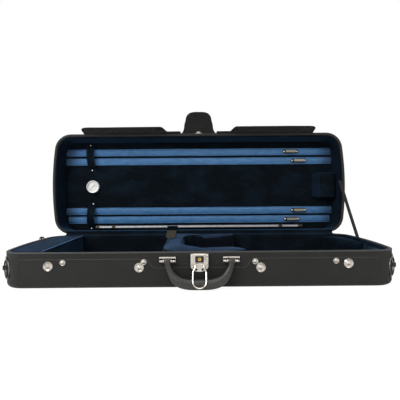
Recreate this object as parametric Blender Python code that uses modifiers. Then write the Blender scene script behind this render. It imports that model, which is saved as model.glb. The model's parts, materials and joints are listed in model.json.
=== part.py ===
"""Viola case, open on its stay: a covered plywood base and lid with lining, lock, handle and fittings.

Metres, +Z up, X along the case, the handle at -Y and the hinges at +Y. The origin is the middle of
the flat underside. Lid pieces are modelled where they stand with the lid shut, and hang on an empty
on the hinge axis, which then swings them open.
"""
import math

import bmesh
import bpy
from mathutils import Matrix, Vector

# Case body
CASE_LENGTH = 0.800
CASE_WIDTH = 0.273
BASE_HEIGHT = 0.0715
LID_HEIGHT = 0.062
LID_HOLLOW = 0.050
CORNER_RADIUS = 0.044
END_ARCH = 0.012
BASE_EDGE_ROUND = 0.009
LID_EDGE_ROUND = 0.014
OPEN_ANGLE = math.radians(93.0)

# Wall layers, from outside to inside
GAP = 0.0003
RIM_GAP = 0.0006
COVER = 0.0010
PLYWOOD = 0.0045
LINING = 0.0053
FLOOR_PAD = 0.008
BINDING_HEIGHT = 0.003
BINDING_ROUND = 0.0008
RIM_STEP = 0.001
LID_WALL_DRAFT = 0.004
LID_BACK_LINING = 0.0012
LINING_FILLET = 0.003

# Strip hinge along the back
HINGE_LENGTH = 0.600
KNUCKLES = 11
KNUCKLE_SIDES = 10
KNUCKLE_RADIUS = 0.0023
PIN_RADIUS = 0.0011
LEAF_HEIGHT = 0.017
LEAF_THICKNESS = 0.0011

# Handle
HANDLE_HALF_SPAN = 0.062
HANDLE_PIVOT_DROP = 0.0172
HANDLE_PIVOT_OUT = 0.0085
HANDLE_DROP = 0.0440
HANDLE_LEAN = math.radians(10.5)
HANDLE_ARM_RADIUS = 0.0060
HANDLE_GRIP_RADIUS = 0.0095
HANDLE_EYE_RADIUS = 0.0052
HANDLE_EYE_WIDTH = 0.0125
HANDLE_PIN_RADIUS = 0.0019
HANDLE_BALL_RADIUS = 0.0030
HANDLE_BEND = 0.026
HANDLE_TAPER = 0.008
HANDLE_SPLAY = 0.002
HANDLE_EYE_FLAT = 0.0047
BRACKET_WIDTH = 0.032
BRACKET_HEIGHT = 0.0125
BRACKET_BELOW = 0.004
BRACKET_THICKNESS = 0.0015
BRACKET_EAR = 0.0022
BRACKET_EAR_RADIUS = 0.0032
BRACKET_BAR_HEIGHT = 0.0030
BRACKET_BAR_BACK = 0.0020
RUNNING = 0.0004

# Lock
LOCK_WIDTH = 0.034
LOCK_TOP_DROP = 0.003
LOCK_HEIGHT = 0.0365
LOCK_PLATE = 0.0015
CHEEK_WIDTH = 0.0045
CHEEK_DEPTH = 0.0075
CHEEK_HEIGHT = 0.0255
LEVER_DEPTH = 0.0052
LEVER_LENGTH = 0.0205
LEVER_PIN_RADIUS = 0.0013
LEVER_PIN_DROP = 0.0035
KEY_DROP = 0.0136
KEY_RADIUS = 0.0034
KEY_PROUD = 0.0010
KEY_SLOT = (0.0010, 0.0032, 0.0015)
KEY_EYE_RADIUS = 0.0009
LEVER_LIP = 0.0016
LEVER_BACK = 0.0008
BAIL_WIRE = 0.0015
BAIL_HALF_WIDTH = 0.0082
BAIL_WIDE = 0.0255
BAIL_LENGTH = 0.0450
BAIL_DROP = 0.0240
BAIL_OUT = 0.0112
BAIL_LEAN = math.radians(27.0)
BAIL_LUG = 0.0026
BAIL_LUG_SIDE = 0.0008
BAIL_PIVOT_END = 0.0030
BAIL_SHOULDER = 0.004
BAIL_WIDENS_AT = 0.014
CUT_REACH = 0.010

# Rings at the front corners
RING_RADIUS = 0.0185
RING_WIRE = 0.0015
RING_CENTRE_Z = 0.0395
RING_LEAN = math.radians(6.0)
RING_PLAY = 0.0008
RING_STEPS = 24
CHAPE_ANGLE = math.radians(35.0)
CHAPE_WIDTH = 0.016
CHAPE_HEIGHT = 0.042
CHAPE_THICKNESS = 0.0015
CHAPE_LOOP_HEIGHT = 0.008
CHAPE_LOOP_WALL = 0.0011

# Fitted compartments of the base
COMPARTMENT_LENGTH = 0.088
DIVIDER = 0.006
FLAP_BOARD = 0.003
TAB_FROM_END = 0.0235
TAB_Y = 0.022
TAB_WIDTH = 0.012
TAB_HEIGHT = 0.011
TAB_LEATHER = 0.0016
TAB_FOOT = 0.010
CUSHION_TOP = 0.0782
CUSHION_LEFT = -0.081
CUSHION_TIP = 0.0925
CUSHION_ROUND = 0.009
CAVITY_LEFT = -0.047
CAVITY_HALF = 0.0960
CAVITY_ROUND = 0.045
ARM_TAPER = 0.022
STRAP_X = -0.0677
STRAP_Y = 0.008
STRAP_WIDTH = 0.023
STRAP_HEIGHT = 0.027
STRAP_THICKNESS = 0.0020
STRAP_FOLD = 0.0016
STRAP_FOOT = 0.0012
END_PAD_FROM_END = 0.0165
END_PAD_RADIUS = 0.167
END_PAD_DROP = 0.004
END_PAD_SLOT = (0.004, 0.011)

# Lid fittings, measured from the shut lid's back edge and up from its rim
BAND_WIDTH = 0.0200
BAND_THICKNESS = 0.0030
BANDS_FROM_BACK = (0.0357, 0.0609)
BANDS_FROM_FRONT = (0.0703, 0.0442)
LOOP_WIDTH = 0.022
LOOP_LEATHER = 0.0016
LOOP_RISE = 0.014
LOOP_FOOT = 0.007
LOOP_FULLNESS = 0.55
LOOPS_FROM_END = (0.0925, 0.0920)
LOWER_LOOP_FROM_BACK = (0.0130, 0.0817)
UPPER_LOOP_FROM_FRONT = (0.0940, 0.0231)
SPINNERS_FROM_END = (0.1363, 0.1159, 0.1139, 0.1366)
SPINNER_PLATE = (0.045, 0.0115, 0.0022)
SPINNER_BAR = (0.029, 0.0065, 0.0048)
SPINNER_POST = 0.0020
SPINNER_LIFT = 0.0016
SPINNER_POST_LENGTH = 0.0024
HYGROMETER_FROM_END = 0.0966
HYGROMETER_BELOW_MIDDLE = 0.0051
HYGROMETER_RADIUS = 0.018
HYGROMETER_DEPTH = 0.0085
BEZEL = 0.0018
BEZEL_LIP = 0.0010
DIAL_FLOOR = 0.003
DIAL_THICKNESS = 0.0008
GLASS_DROP = 0.0022
GLASS_THICKNESS = 0.0007
NEEDLE_LENGTH = 0.0120
NEEDLE_WIDTH = 0.0008
NEEDLE_TAIL = 0.0054
NEEDLE_TAIL_BALL = 0.0014
NEEDLE_HUB = (0.0016, 0.0009)
NEEDLE_REST = math.radians(-135)
TUBE_FROM_ENDS = (0.1065, 0.1083)
TUBE_RADIUS = 0.0068
TUBE_WALL = 0.0009
TUBE_FOOT = 0.010
CAP_LENGTH = 0.012
CAP_OVER = 0.0072
CAP_WALL = 0.0012
CAP_HEADROOM = 0.002
CLIPS_FROM_TUBE_ENDS = (0.0512, 0.0617)
CLIP_WIDTH = 0.010
CLIP_WALL = 0.0016
POCKET_FROM_END = (0.0745, 0.0200)
POCKET_FROM_MIDDLE = (-0.0400, 0.0290)
POCKET_DEPTH = 0.028
POCKET_SLANT = 0.0135
POCKET_CLOTH = 0.0018
CATCH_WIDTH = 0.020
CATCH_ARM_WIDTH = 0.010
CATCH_ARM = (0.0040, 0.0063)
CATCH_PLATE = 0.0012
CATCH_HEIGHT = 0.009
CATCH_HOOK = 0.0050
CATCH_ABOVE_RIM = 0.0022

# Rain flap
FLAP_CLOTH = 0.0016
FLAP_FROM_END = 0.087
FLAP_WIDTH = 0.0340
FLAP_NARROW = 0.0085
FLAP_NOTCH = 0.0860
FLAP_INNER = 0.0515
FLAP_ROUND = 0.010
FLAP_SLOPE = 0.016
FLAP_SEAM = 0.0055
FLAP_LEAN = math.radians(17.0)
TAB_FLAP_BASE = 0.0500
TAB_FLAP_HALF = 0.0375
TAB_FLAP_LENGTH = 0.0600
TAB_FLAP_ROUND = 0.020
TAB_FLAP_TAPER = 0.004
TAB_FLAP_SEWN = 0.0007
TAB_FLAP_SQUARE = 0.001
TAB_FLAP_ABOVE_CATCH = 0.0030
TAB_FLAP_LEAN = math.radians(90.0)

# Lid stay
STAY_WIDTH = 0.010
STAY_THICKNESS = 0.0014
STAY_BELOW_MIDDLE = -0.0035
STAY_BASE_Y = 0.034
STAY_FROM_END = 0.014

# Facets
END_STEPS = 6
CORNER_STEPS = 5
ROUND_STEPS = 3
SIDES = 12

# Worked out from the driving sizes
HALF_LENGTH = CASE_LENGTH / 2
HALF_WIDTH = CASE_WIDTH / 2
COMPARTMENT_X = COMPARTMENT_LENGTH - HALF_LENGTH
TAB_X = TAB_FROM_END - HALF_LENGTH
END_PAD_X = HALF_LENGTH - END_PAD_FROM_END
BAND_VS = BANDS_FROM_BACK + tuple(CASE_WIDTH - v for v in BANDS_FROM_FRONT)
LOOPS = (
    ("lower", LOOPS_FROM_END[0] - HALF_LENGTH, *LOWER_LOOP_FROM_BACK),
    ("upper", LOOPS_FROM_END[1] - HALF_LENGTH, *(CASE_WIDTH - v for v in UPPER_LOOP_FROM_FRONT)),
)
SPINNER_PLACES = [(HALF_LENGTH - x, row) for row, x in enumerate(SPINNERS_FROM_END)]
HYGROMETER_X = HYGROMETER_FROM_END - HALF_LENGTH
HYGROMETER_V = HALF_WIDTH - HYGROMETER_BELOW_MIDDLE
TUBE_FROM = TUBE_FROM_ENDS[0] - HALF_LENGTH
TUBE_TO = HALF_LENGTH - TUBE_FROM_ENDS[1]
CLIP_XS = (TUBE_FROM + CLIPS_FROM_TUBE_ENDS[0], TUBE_TO - CLIPS_FROM_TUBE_ENDS[1])
POCKET_XS = tuple(HALF_LENGTH - x for x in POCKET_FROM_END)
POCKET_VS = tuple(HALF_WIDTH + v for v in POCKET_FROM_MIDDLE)
FLAP_HALF_LENGTH = HALF_LENGTH - FLAP_FROM_END
STAY_LID_V = HALF_WIDTH - STAY_BELOW_MIDDLE
STAY_X = HALF_LENGTH - STAY_FROM_END
SHELL_OUT = COVER + GAP
SHELL_IN = SHELL_OUT + PLYWOOD
LINING_OUT = SHELL_IN + GAP
LINING_IN = LINING_OUT + LINING
TUBE_HOLD = TUBE_RADIUS - CAP_WALL
TUBE_V = LINING_OUT + LID_BACK_LINING + GAP + TUBE_HOLD + CLIP_WALL
FLOOR_TOP = LINING_OUT + FLOOR_PAD
LID_RIM = BASE_HEIGHT + RIM_GAP
LID_TOP = LID_RIM + LID_HEIGHT
LID_PANEL = LID_RIM + LID_HOLLOW
FRONT = -HALF_WIDTH
HINGE_AXIS = Vector((0, HALF_WIDTH + GAP + KNUCKLE_RADIUS, BASE_HEIGHT + RIM_GAP / 2))


def clear_scene():
    """Start from an empty file."""
    for old in list(bpy.data.objects):
        bpy.data.objects.remove(old, do_unlink=True)


def make_collection(name):
    """A collection linked to the scene."""
    group = bpy.data.collections.new(name)
    bpy.context.scene.collection.children.link(group)
    return group


clear_scene()
CASE = make_collection("viola_case")
CUTTERS = make_collection("cutters")


def finish(name, colour, roughness, metallic=0.0):
    """A Principled material of one colour."""
    mat = bpy.data.materials.new(name)
    mat.use_nodes = True
    shader = mat.node_tree.nodes["Principled BSDF"]
    shader.inputs["Base Color"].default_value = (*colour, 1.0)
    shader.inputs["Roughness"].default_value = roughness
    shader.inputs["Metallic"].default_value = metallic
    return mat


CLOTH = finish("cover_cloth", (0.030, 0.030, 0.028), 0.85)
BINDING = finish("binding", (0.020, 0.020, 0.020), 0.7)
WOOD = finish("plywood", (0.45, 0.31, 0.18), 0.7)
VELVET = finish("navy_velvet", (0.010, 0.022, 0.042), 0.95)
CUSHION_VELVET = finish("blue_velvet", (0.035, 0.065, 0.120), 0.95)
SATIN = finish("blue_satin", (0.075, 0.200, 0.380), 0.45)
NICKEL = finish("nickel", (0.62, 0.58, 0.53), 0.25, 1.0)
BRASS = finish("brass", (0.60, 0.42, 0.18), 0.3, 1.0)
BLACK_METAL = finish("black_metal", (0.04, 0.04, 0.04), 0.4, 0.8)
GRIP = finish("handle_leather", (0.055, 0.050, 0.047), 0.5)
LEATHER = finish("black_leather", (0.015, 0.015, 0.015), 0.55)
ALUMINIUM = finish("tube_aluminium", (0.55, 0.55, 0.57), 0.3, 0.9)
DIAL_WHITE = finish("dial_white", (0.85, 0.85, 0.84), 0.5)
NEEDLE_BLACK = finish("needle_black", (0.02, 0.02, 0.02), 0.5)
GLASS = finish("clear_glass", (0.9, 0.9, 0.9), 0.05)


def mesh_of(name, bm):
    """Turn a bmesh into a mesh, with its faces pointing out."""
    bmesh.ops.recalc_face_normals(bm, faces=bm.faces)
    mesh = bpy.data.meshes.new(name)
    bm.to_mesh(mesh)
    bm.free()
    return mesh


def node(name, mesh, mat, group=None):
    """An object with smooth round faces and one material."""
    mesh.shade_smooth()
    mesh.set_sharp_from_angle(angle=math.radians(35))
    mesh.materials.clear()
    mesh.materials.append(mat)
    made = bpy.data.objects.new(name, mesh)
    (group or CASE).objects.link(made)
    return made


def axis_empty(name, place, parent=None):
    """An empty on a joint's axis."""
    empty = bpy.data.objects.new(name, None)
    empty.empty_display_size = 0.03
    CASE.objects.link(empty)
    empty["place"] = place[:]
    empty.location = place - Vector(parent["place"]) if parent else place
    empty.parent = parent
    return empty


def hang(piece, axis):
    """Give a piece the origin of its joint's empty, and parent it there."""
    piece.data.transform(Matrix.Translation(-Vector(axis["place"])))
    piece.parent = axis
    return piece


def applied(piece):
    """A mesh with the piece's modifiers and place applied. The piece is removed."""
    bpy.context.view_layer.update()
    seen = piece.evaluated_get(bpy.context.evaluated_depsgraph_get())
    mesh = bpy.data.meshes.new_from_object(seen)
    mesh.transform(piece.matrix_world)
    bpy.data.objects.remove(piece, do_unlink=True)
    return mesh


def welded(mesh):
    """Close a curve's loose caps."""
    bm = bmesh.new()
    bm.from_mesh(mesh)
    bmesh.ops.remove_doubles(bm, verts=bm.verts, dist=1e-6)
    return mesh_of(mesh.name, bm)


def moved(mesh, matrix):
    """A copy of a mesh at another place."""
    copy = mesh.copy()
    copy.transform(matrix)
    return copy


def combine(base, others, operation):
    """Join meshes to, or cut them from, a base mesh with exact Booleans."""
    body = bpy.data.objects.new("body", base)
    CUTTERS.objects.link(body)
    tools = []
    for other in others:
        tool = bpy.data.objects.new("tool", other)
        tool.hide_render = True
        tool.display_type = "WIRE"
        CUTTERS.objects.link(tool)
        tools.append(tool)
        change = body.modifiers.new("change", "BOOLEAN")
        change.operation = operation
        change.object = tool
    mesh = applied(body)
    for tool in tools:
        bpy.data.objects.remove(tool, do_unlink=True)
    return mesh


def case_outline(inset, back=0.0):
    """The case's plan, drawn in by a distance: arched ends and round corners, anticlockwise.

    back moves the back half out again, for a lining that is thinner there.
    """
    end_radius = (HALF_WIDTH**2 + END_ARCH**2) / (2 * END_ARCH)
    end_x = HALF_LENGTH - end_radius
    corner_y = HALF_WIDTH - CORNER_RADIUS
    corner_x = end_x + math.sqrt((end_radius - CORNER_RADIUS) ** 2 - corner_y**2)
    meet = math.atan2(corner_y, corner_x - end_x)
    end = [
        arc_point(end_x, 0, end_radius - inset, meet * step / END_STEPS)
        for step in range(-END_STEPS, END_STEPS + 1)
    ]
    corner = [
        arc_point(corner_x, corner_y, CORNER_RADIUS - inset, meet + (math.pi / 2 - meet) * step / CORNER_STEPS)
        for step in range(1, CORNER_STEPS + 1)
    ]
    right = [(x, -y) for x, y in reversed(corner)] + end + corner
    whole = right + [(-x, -y) for x, y in right]
    return [(x, y + back if y > 0 else y) for x, y in whole]


def arc_point(x, y, radius, angle):
    """A point on a circle in plan."""
    return (x + radius * math.cos(angle), y + radius * math.sin(angle))


def wall_x(inset, y):
    """How far out the end wall stands at one y, on its arch or its corner."""
    end_radius = (HALF_WIDTH**2 + END_ARCH**2) / (2 * END_ARCH)
    corner_y = HALF_WIDTH - CORNER_RADIUS
    if abs(y) <= (end_radius - inset) * corner_y / (end_radius - CORNER_RADIUS):
        return HALF_LENGTH - end_radius + math.sqrt((end_radius - inset) ** 2 - y**2)
    corner_x = HALF_LENGTH - end_radius + math.sqrt((end_radius - CORNER_RADIUS) ** 2 - corner_y**2)
    return corner_x + math.sqrt((CORNER_RADIUS - inset) ** 2 - (abs(y) - corner_y) ** 2)


def swept(name, section, loop):
    """Carry a section round the case's plan. An open one is capped at both ends.

    A point of the section is (inset, z) or (inset, z, back), as case_outline takes them.
    """
    bm = bmesh.new()
    rings = [[bm.verts.new((x, y, z)) for x, y in case_outline(inset, *back)] for inset, z, *back in section]
    count = len(rings[0])
    pairs = list(zip(rings, rings[1:]))
    if loop:
        pairs.append((rings[-1], rings[0]))
    for low, high in pairs:
        for i in range(count):
            j = (i + 1) % count
            bm.faces.new((low[i], low[j], high[j], high[i]))
    if not loop:
        bm.faces.new(rings[0])
        bm.faces.new(rings[-1])
    return mesh_of(name, bm)


def edge_round(inset, radius, z, turn):
    """Quarter round from the flat (turn -1, below) or the wall (turn +1, above), as section points."""
    points = []
    for step in range(ROUND_STEPS + 1):
        angle = math.pi / 2 * step / ROUND_STEPS
        points.append((inset - radius * math.sin(angle), z - turn * radius * (1 - math.cos(angle))))
    return points


def slab(name, outline, low, high):
    """A flat plate with a plan outline, between two heights."""
    bm = bmesh.new()
    base = bm.faces.new([bm.verts.new((x, y, low)) for x, y in outline])
    grown = bmesh.ops.extrude_face_region(bm, geom=[base])
    top = [v for v in grown["geom"] if isinstance(v, bmesh.types.BMVert)]
    bmesh.ops.translate(bm, verts=top, vec=(0, 0, high - low))
    return mesh_of(name, bm)


def block(low, high):
    """A box between two corners."""
    low, high = Vector(low), Vector(high)
    bm = bmesh.new()
    size = Matrix.Diagonal((*(high - low), 1.0))
    bmesh.ops.create_cube(bm, size=1.0, matrix=Matrix.Translation((low + high) / 2) @ size)
    return mesh_of("block", bm)


def rod(start, end, radius, sides=SIDES):
    """A round bar between two points."""
    start, end = Vector(start), Vector(end)
    turn = (end - start).to_track_quat("Z", "Y").to_matrix().to_4x4()
    bm = bmesh.new()
    bmesh.ops.create_cone(
        bm,
        cap_ends=True,
        segments=sides,
        radius1=radius,
        radius2=radius,
        depth=(end - start).length,
        matrix=Matrix.Translation((start + end) / 2) @ turn,
    )
    return mesh_of("rod", bm)


def ball(place, radius, sides=10):
    """A small sphere."""
    bm = bmesh.new()
    bmesh.ops.create_uvsphere(
        bm, u_segments=sides, v_segments=sides // 2 + 1, radius=radius, matrix=Matrix.Translation(place)
    )
    return mesh_of("ball", bm)


def wire(points, radius, closed=False, radii=None, resolution=2):
    """A round wire or cord through points, as a closed mesh."""
    curve = bpy.data.curves.new("wire", "CURVE")
    curve.dimensions = "3D"
    curve.bevel_depth = radius
    curve.bevel_resolution = resolution
    curve.use_fill_caps = True
    spline = curve.splines.new("POLY")
    spline.points.add(len(points) - 1)
    for i, (place, target) in enumerate(zip(points, spline.points)):
        target.co = (*place, 1.0)
        target.radius = radii[i] if radii else 1.0
    spline.use_cyclic_u = closed
    piece = bpy.data.objects.new("wire", curve)
    CUTTERS.objects.link(piece)
    return welded(applied(piece))


def lid_point(x, v, depth):
    """A point in the shut lid: v from its back edge, depth from its rim towards its panel."""
    return Vector((x, HALF_WIDTH - v, LID_RIM + depth))


def facing_hollow(x, v, depth):
    """Turn a solid's +Z to face out of the lid's hollow, and set it at a depth."""
    return Matrix.Translation(lid_point(x, v, depth)) @ Matrix.Rotation(math.pi, 4, "X")


def build_base():
    """Plywood tub, covering, binding and velvet lining of the base."""
    flat = BASE_EDGE_ROUND
    wall_top = BASE_HEIGHT - BINDING_HEIGHT - GAP
    shell = edge_round(flat, flat - SHELL_OUT, SHELL_OUT, -1)
    shell += [(SHELL_OUT, wall_top), (SHELL_IN, wall_top), (SHELL_IN, SHELL_IN)]
    node("base_shell", swept("base_shell", shell, False), WOOD)
    hem = edge_round(flat, flat, 0.0, -1) + edge_round(flat, flat - COVER, COVER, -1)[::-1]
    node("bottom_panel", swept("bottom_panel", hem, False), CLOTH)
    hem_top = BASE_EDGE_ROUND + GAP
    cover = [(0, hem_top), (0, wall_top), (COVER, wall_top), (COVER, hem_top)]
    node("base_cover", swept("base_cover", cover, True), CLOTH)
    node("base_rim_binding", binding("base_rim_binding", BASE_HEIGHT, -1), BINDING)
    rim = BASE_HEIGHT - RIM_STEP
    lining = [(LINING_OUT, LINING_OUT), (LINING_OUT, rim), (LINING_IN, rim)]
    lining += [(LINING_IN, FLOOR_TOP)]
    node("base_lining", swept("base_lining", lining, False), VELVET)


def binding(name, rim, down):
    """Rounded strip that closes the rim's edge. down is -1 for the base and +1 for the lid."""
    root = rim + down * BINDING_HEIGHT
    side = rim + down * BINDING_ROUND
    section = [(0, root), (0, side), (BINDING_ROUND, rim), (SHELL_IN - BINDING_ROUND, rim)]
    section += [(SHELL_IN, side), (SHELL_IN, root)]
    return swept(name, section, True)


def build_lid(axis):
    """Plywood tray, covering, binding and lining of the lid, made shut."""
    wall_low = LID_RIM + BINDING_HEIGHT + GAP
    flat = LID_EDGE_ROUND
    cover = edge_round(flat, flat, LID_TOP, 1) + [(0, wall_low), (COVER, wall_low)]
    cover += edge_round(flat, flat - COVER, LID_TOP - COVER, 1)[::-1]
    hang(node("lid_cover", swept("lid_cover", cover, False), CLOTH), axis)
    shell = edge_round(flat, flat - SHELL_OUT, LID_TOP - SHELL_OUT, 1)
    shell += [(SHELL_OUT, wall_low), (SHELL_IN, wall_low)]
    shell += edge_round(flat, flat - SHELL_IN, LID_TOP - SHELL_IN, 1)[::-1]
    hang(node("lid_shell", swept("lid_shell", shell, False), WOOD), axis)
    hang(node("lid_rim_binding", binding("lid_rim_binding", LID_RIM, 1), BINDING), axis)
    rim = LID_RIM + RIM_STEP
    thin = LINING - LID_BACK_LINING
    deep = LINING_IN + LID_WALL_DRAFT
    lining = edge_round(flat, flat - LINING_OUT, LID_TOP - LINING_OUT, 1)
    lining += [(LINING_OUT, rim), (LINING_IN, rim, thin)]
    lining += [(deep, LID_PANEL - LINING_FILLET, thin + LID_WALL_DRAFT)]
    lining += [(deep + LINING_FILLET, LID_PANEL, thin + LID_WALL_DRAFT + LINING_FILLET)]
    hang(node("lid_lining", swept("lid_lining", lining, False), VELVET), axis)


def hinge_leaf(side):
    """One leaf on the back, with every second knuckle. side is -1 below the axis (base), +1 above (lid)."""
    axis_y, axis_z = HINGE_AXIS.y, HINGE_AXIS.z
    back = HALF_WIDTH + GAP
    half = HINGE_LENGTH / 2
    pitch = HINGE_LENGTH / KNUCKLES
    near = axis_z + side * (KNUCKLE_RADIUS + RUNNING)
    low, high = sorted((near, axis_z + side * LEAF_HEIGHT))
    leaf = block((-half, back, low), (half, back + LEAF_THICKNESS, high))
    tools = []
    for number in range(0 if side < 0 else 1, KNUCKLES, 2):
        left = -half + pitch * number + RUNNING / 2
        right = left + pitch - RUNNING
        low, high = sorted((axis_z, near + side * LEAF_THICKNESS))
        tools.append(block((left, back, low), (right, back + LEAF_THICKNESS, high)))
        tools.append(rod((left, axis_y, axis_z), (right, axis_y, axis_z), KNUCKLE_RADIUS, KNUCKLE_SIDES))
    whole = combine(leaf, tools, "UNION")
    reach = half + LEAF_THICKNESS
    bore = rod((-reach, axis_y, axis_z), (reach, axis_y, axis_z), PIN_RADIUS + GAP, KNUCKLE_SIDES)
    return combine(whole, [bore], "DIFFERENCE")


def build_hinge(axis):
    """Strip hinge on the back: a leaf on the base, a leaf on the lid, and the pin through both."""
    node("hinge_leaf_base", hinge_leaf(-1), NICKEL)
    hang(node("hinge_leaf_lid", hinge_leaf(1), NICKEL), axis)
    half = HINGE_LENGTH / 2
    y, z = HINGE_AXIS.y, HINGE_AXIS.z
    node("hinge_pin", rod((-half, y, z), (half, y, z), PIN_RADIUS, KNUCKLE_SIDES), NICKEL)


def handle_path():
    """Half of the handle's centre line, from the eye down to the middle of the grip, as (x, drop, radius)."""
    bend = HANDLE_BEND
    corner_x = HANDLE_HALF_SPAN - HANDLE_TAPER
    points = [
        (HANDLE_HALF_SPAN, 0.0, HANDLE_ARM_RADIUS),
        (HANDLE_HALF_SPAN - HANDLE_SPLAY, HANDLE_DROP - bend, HANDLE_ARM_RADIUS),
    ]
    for step in range(1, 6):
        angle = math.pi / 2 * step / 5
        share = step / 5
        radius = HANDLE_ARM_RADIUS + (HANDLE_GRIP_RADIUS - HANDLE_ARM_RADIUS) * share
        x = corner_x - bend + (bend + HANDLE_TAPER - HANDLE_SPLAY) * math.cos(angle)
        points.append((x, HANDLE_DROP - bend * (1 - math.sin(angle)), radius))
    points.append((0.0, HANDLE_DROP, HANDLE_GRIP_RADIUS))
    return points


def build_handle():
    """Padded carrying handle on two brackets, with a ball-ended pin through each eye."""
    pivot = Vector((0, FRONT - HANDLE_PIVOT_OUT, BASE_HEIGHT - HANDLE_PIVOT_DROP))
    axis = axis_empty("handle_axis", pivot)
    half = handle_path()
    line = half + [(-x, drop, radius) for x, drop, radius in reversed(half[:-1])]
    points = [(x, pivot.y, pivot.z - drop) for x, drop, _ in line]
    radii = [radius / HANDLE_GRIP_RADIUS for _, _, radius in line]
    grip = wire(points, HANDLE_GRIP_RADIUS, radii=radii, resolution=3)
    eyes, bores = [], []
    for x in (-HANDLE_HALF_SPAN, HANDLE_HALF_SPAN):
        half_eye = HANDLE_EYE_WIDTH / 2
        start, end = (x - half_eye, pivot.y, pivot.z), (x + half_eye, pivot.y, pivot.z)
        eyes.append(rod(start, end, HANDLE_EYE_RADIUS, 16))
        reach = HANDLE_EYE_WIDTH
        bores.append(
            rod((x - reach, pivot.y, pivot.z), (x + reach, pivot.y, pivot.z), HANDLE_PIN_RADIUS + RUNNING)
        )
    wide = HANDLE_HALF_SPAN + HANDLE_EYE_WIDTH
    low = (-wide, pivot.y - HANDLE_EYE_WIDTH, pivot.z + HANDLE_EYE_FLAT)
    trim = block(low, (wide, pivot.y + HANDLE_EYE_WIDTH, pivot.z + HANDLE_EYE_WIDTH))
    solid = combine(combine(grip, eyes, "UNION"), bores + [trim], "DIFFERENCE")
    hang(node("handle", solid, GRIP), axis)
    axis.rotation_euler = (-HANDLE_LEAN, 0, 0)
    for name, x in (("left", -HANDLE_HALF_SPAN), ("right", HANDLE_HALF_SPAN)):
        node(f"handle_bracket_{name}", handle_bracket(x, pivot), NICKEL)
        node(f"handle_pin_{name}", handle_pin(x, pivot), NICKEL)


def handle_bracket(x, pivot):
    """A plate on the front with two ears that carry the pin."""
    back = FRONT - GAP
    bottom = pivot.z - BRACKET_BELOW
    top = bottom + BRACKET_HEIGHT
    ear = BRACKET_EAR_RADIUS
    plate = block((x - BRACKET_WIDTH / 2, back - BRACKET_THICKNESS, bottom), (x + BRACKET_WIDTH / 2, back, top))
    tools = []
    inner = HANDLE_EYE_WIDTH / 2 + RUNNING
    for side in (-1, 1):
        near, far = sorted((x + side * inner, x + side * (inner + BRACKET_EAR)))
        tools.append(block((near, pivot.y, pivot.z - ear), (far, back - GAP, pivot.z + ear)))
        tools.append(rod((near, pivot.y, pivot.z), (far, pivot.y, pivot.z), ear))
    corner = (x - BRACKET_WIDTH / 2, pivot.y + BRACKET_BAR_BACK, top - BRACKET_BAR_HEIGHT)
    bar = block(corner, (x + BRACKET_WIDTH / 2, back - GAP, top))
    solid = combine(plate, tools + [bar], "UNION")
    reach = BRACKET_WIDTH
    bore = rod((x - reach, pivot.y, pivot.z), (x + reach, pivot.y, pivot.z), HANDLE_PIN_RADIUS + GAP)
    return combine(solid, [bore], "DIFFERENCE")


def handle_pin(x, pivot):
    """A pin with a ball on each end, outside the ears."""
    reach = HANDLE_EYE_WIDTH / 2 + RUNNING + BRACKET_EAR + GAP + HANDLE_BALL_RADIUS * 0.8
    shank = rod((x - reach, pivot.y, pivot.z), (x + reach, pivot.y, pivot.z), HANDLE_PIN_RADIUS)
    balls = [ball((x + side * reach, pivot.y, pivot.z), HANDLE_BALL_RADIUS) for side in (-1, 1)]
    return combine(shank, balls, "UNION")


def build_lock():
    """Draw lock: plate with cheeks, lever with its key barrel, and the bail on the lever."""
    top = BASE_HEIGHT - LOCK_TOP_DROP
    back = FRONT - GAP
    half = LOCK_WIDTH / 2
    turns = [math.pi * step / 8 for step in range(9)]
    nose = LOCK_HEIGHT - CHEEK_HEIGHT
    outline = [(-half * math.cos(turn), -CHEEK_HEIGHT - nose * math.sin(turn)) for turn in turns]
    plate = slab("plate", outline + [(half, 0), (-half, 0)], 0, LOCK_PLATE)
    plate.transform(Matrix.Translation((0, back, top)) @ Matrix.Rotation(math.pi / 2, 4, "X"))
    cheeks = []
    for side in (-1, 1):
        near, far = sorted((side * half, side * (half - CHEEK_WIDTH)))
        cheeks.append(block((near, back - CHEEK_DEPTH, top - CHEEK_HEIGHT), (far, back - GAP, top)))
    hinge_y = back - LOCK_PLATE - GAP - LEVER_DEPTH / 2
    hinge_z = top - LEVER_PIN_DROP
    pivot = Vector((0, hinge_y, hinge_z))
    reach = half - CHEEK_WIDTH / 2
    body = combine(plate, cheeks, "UNION")
    bores = [rod((-half, hinge_y, hinge_z), (half, hinge_y, hinge_z), LEVER_PIN_RADIUS + GAP)]
    body = combine(body, bores, "DIFFERENCE")
    node("lock_plate", body, NICKEL)
    build_lever(pivot, reach)


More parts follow.
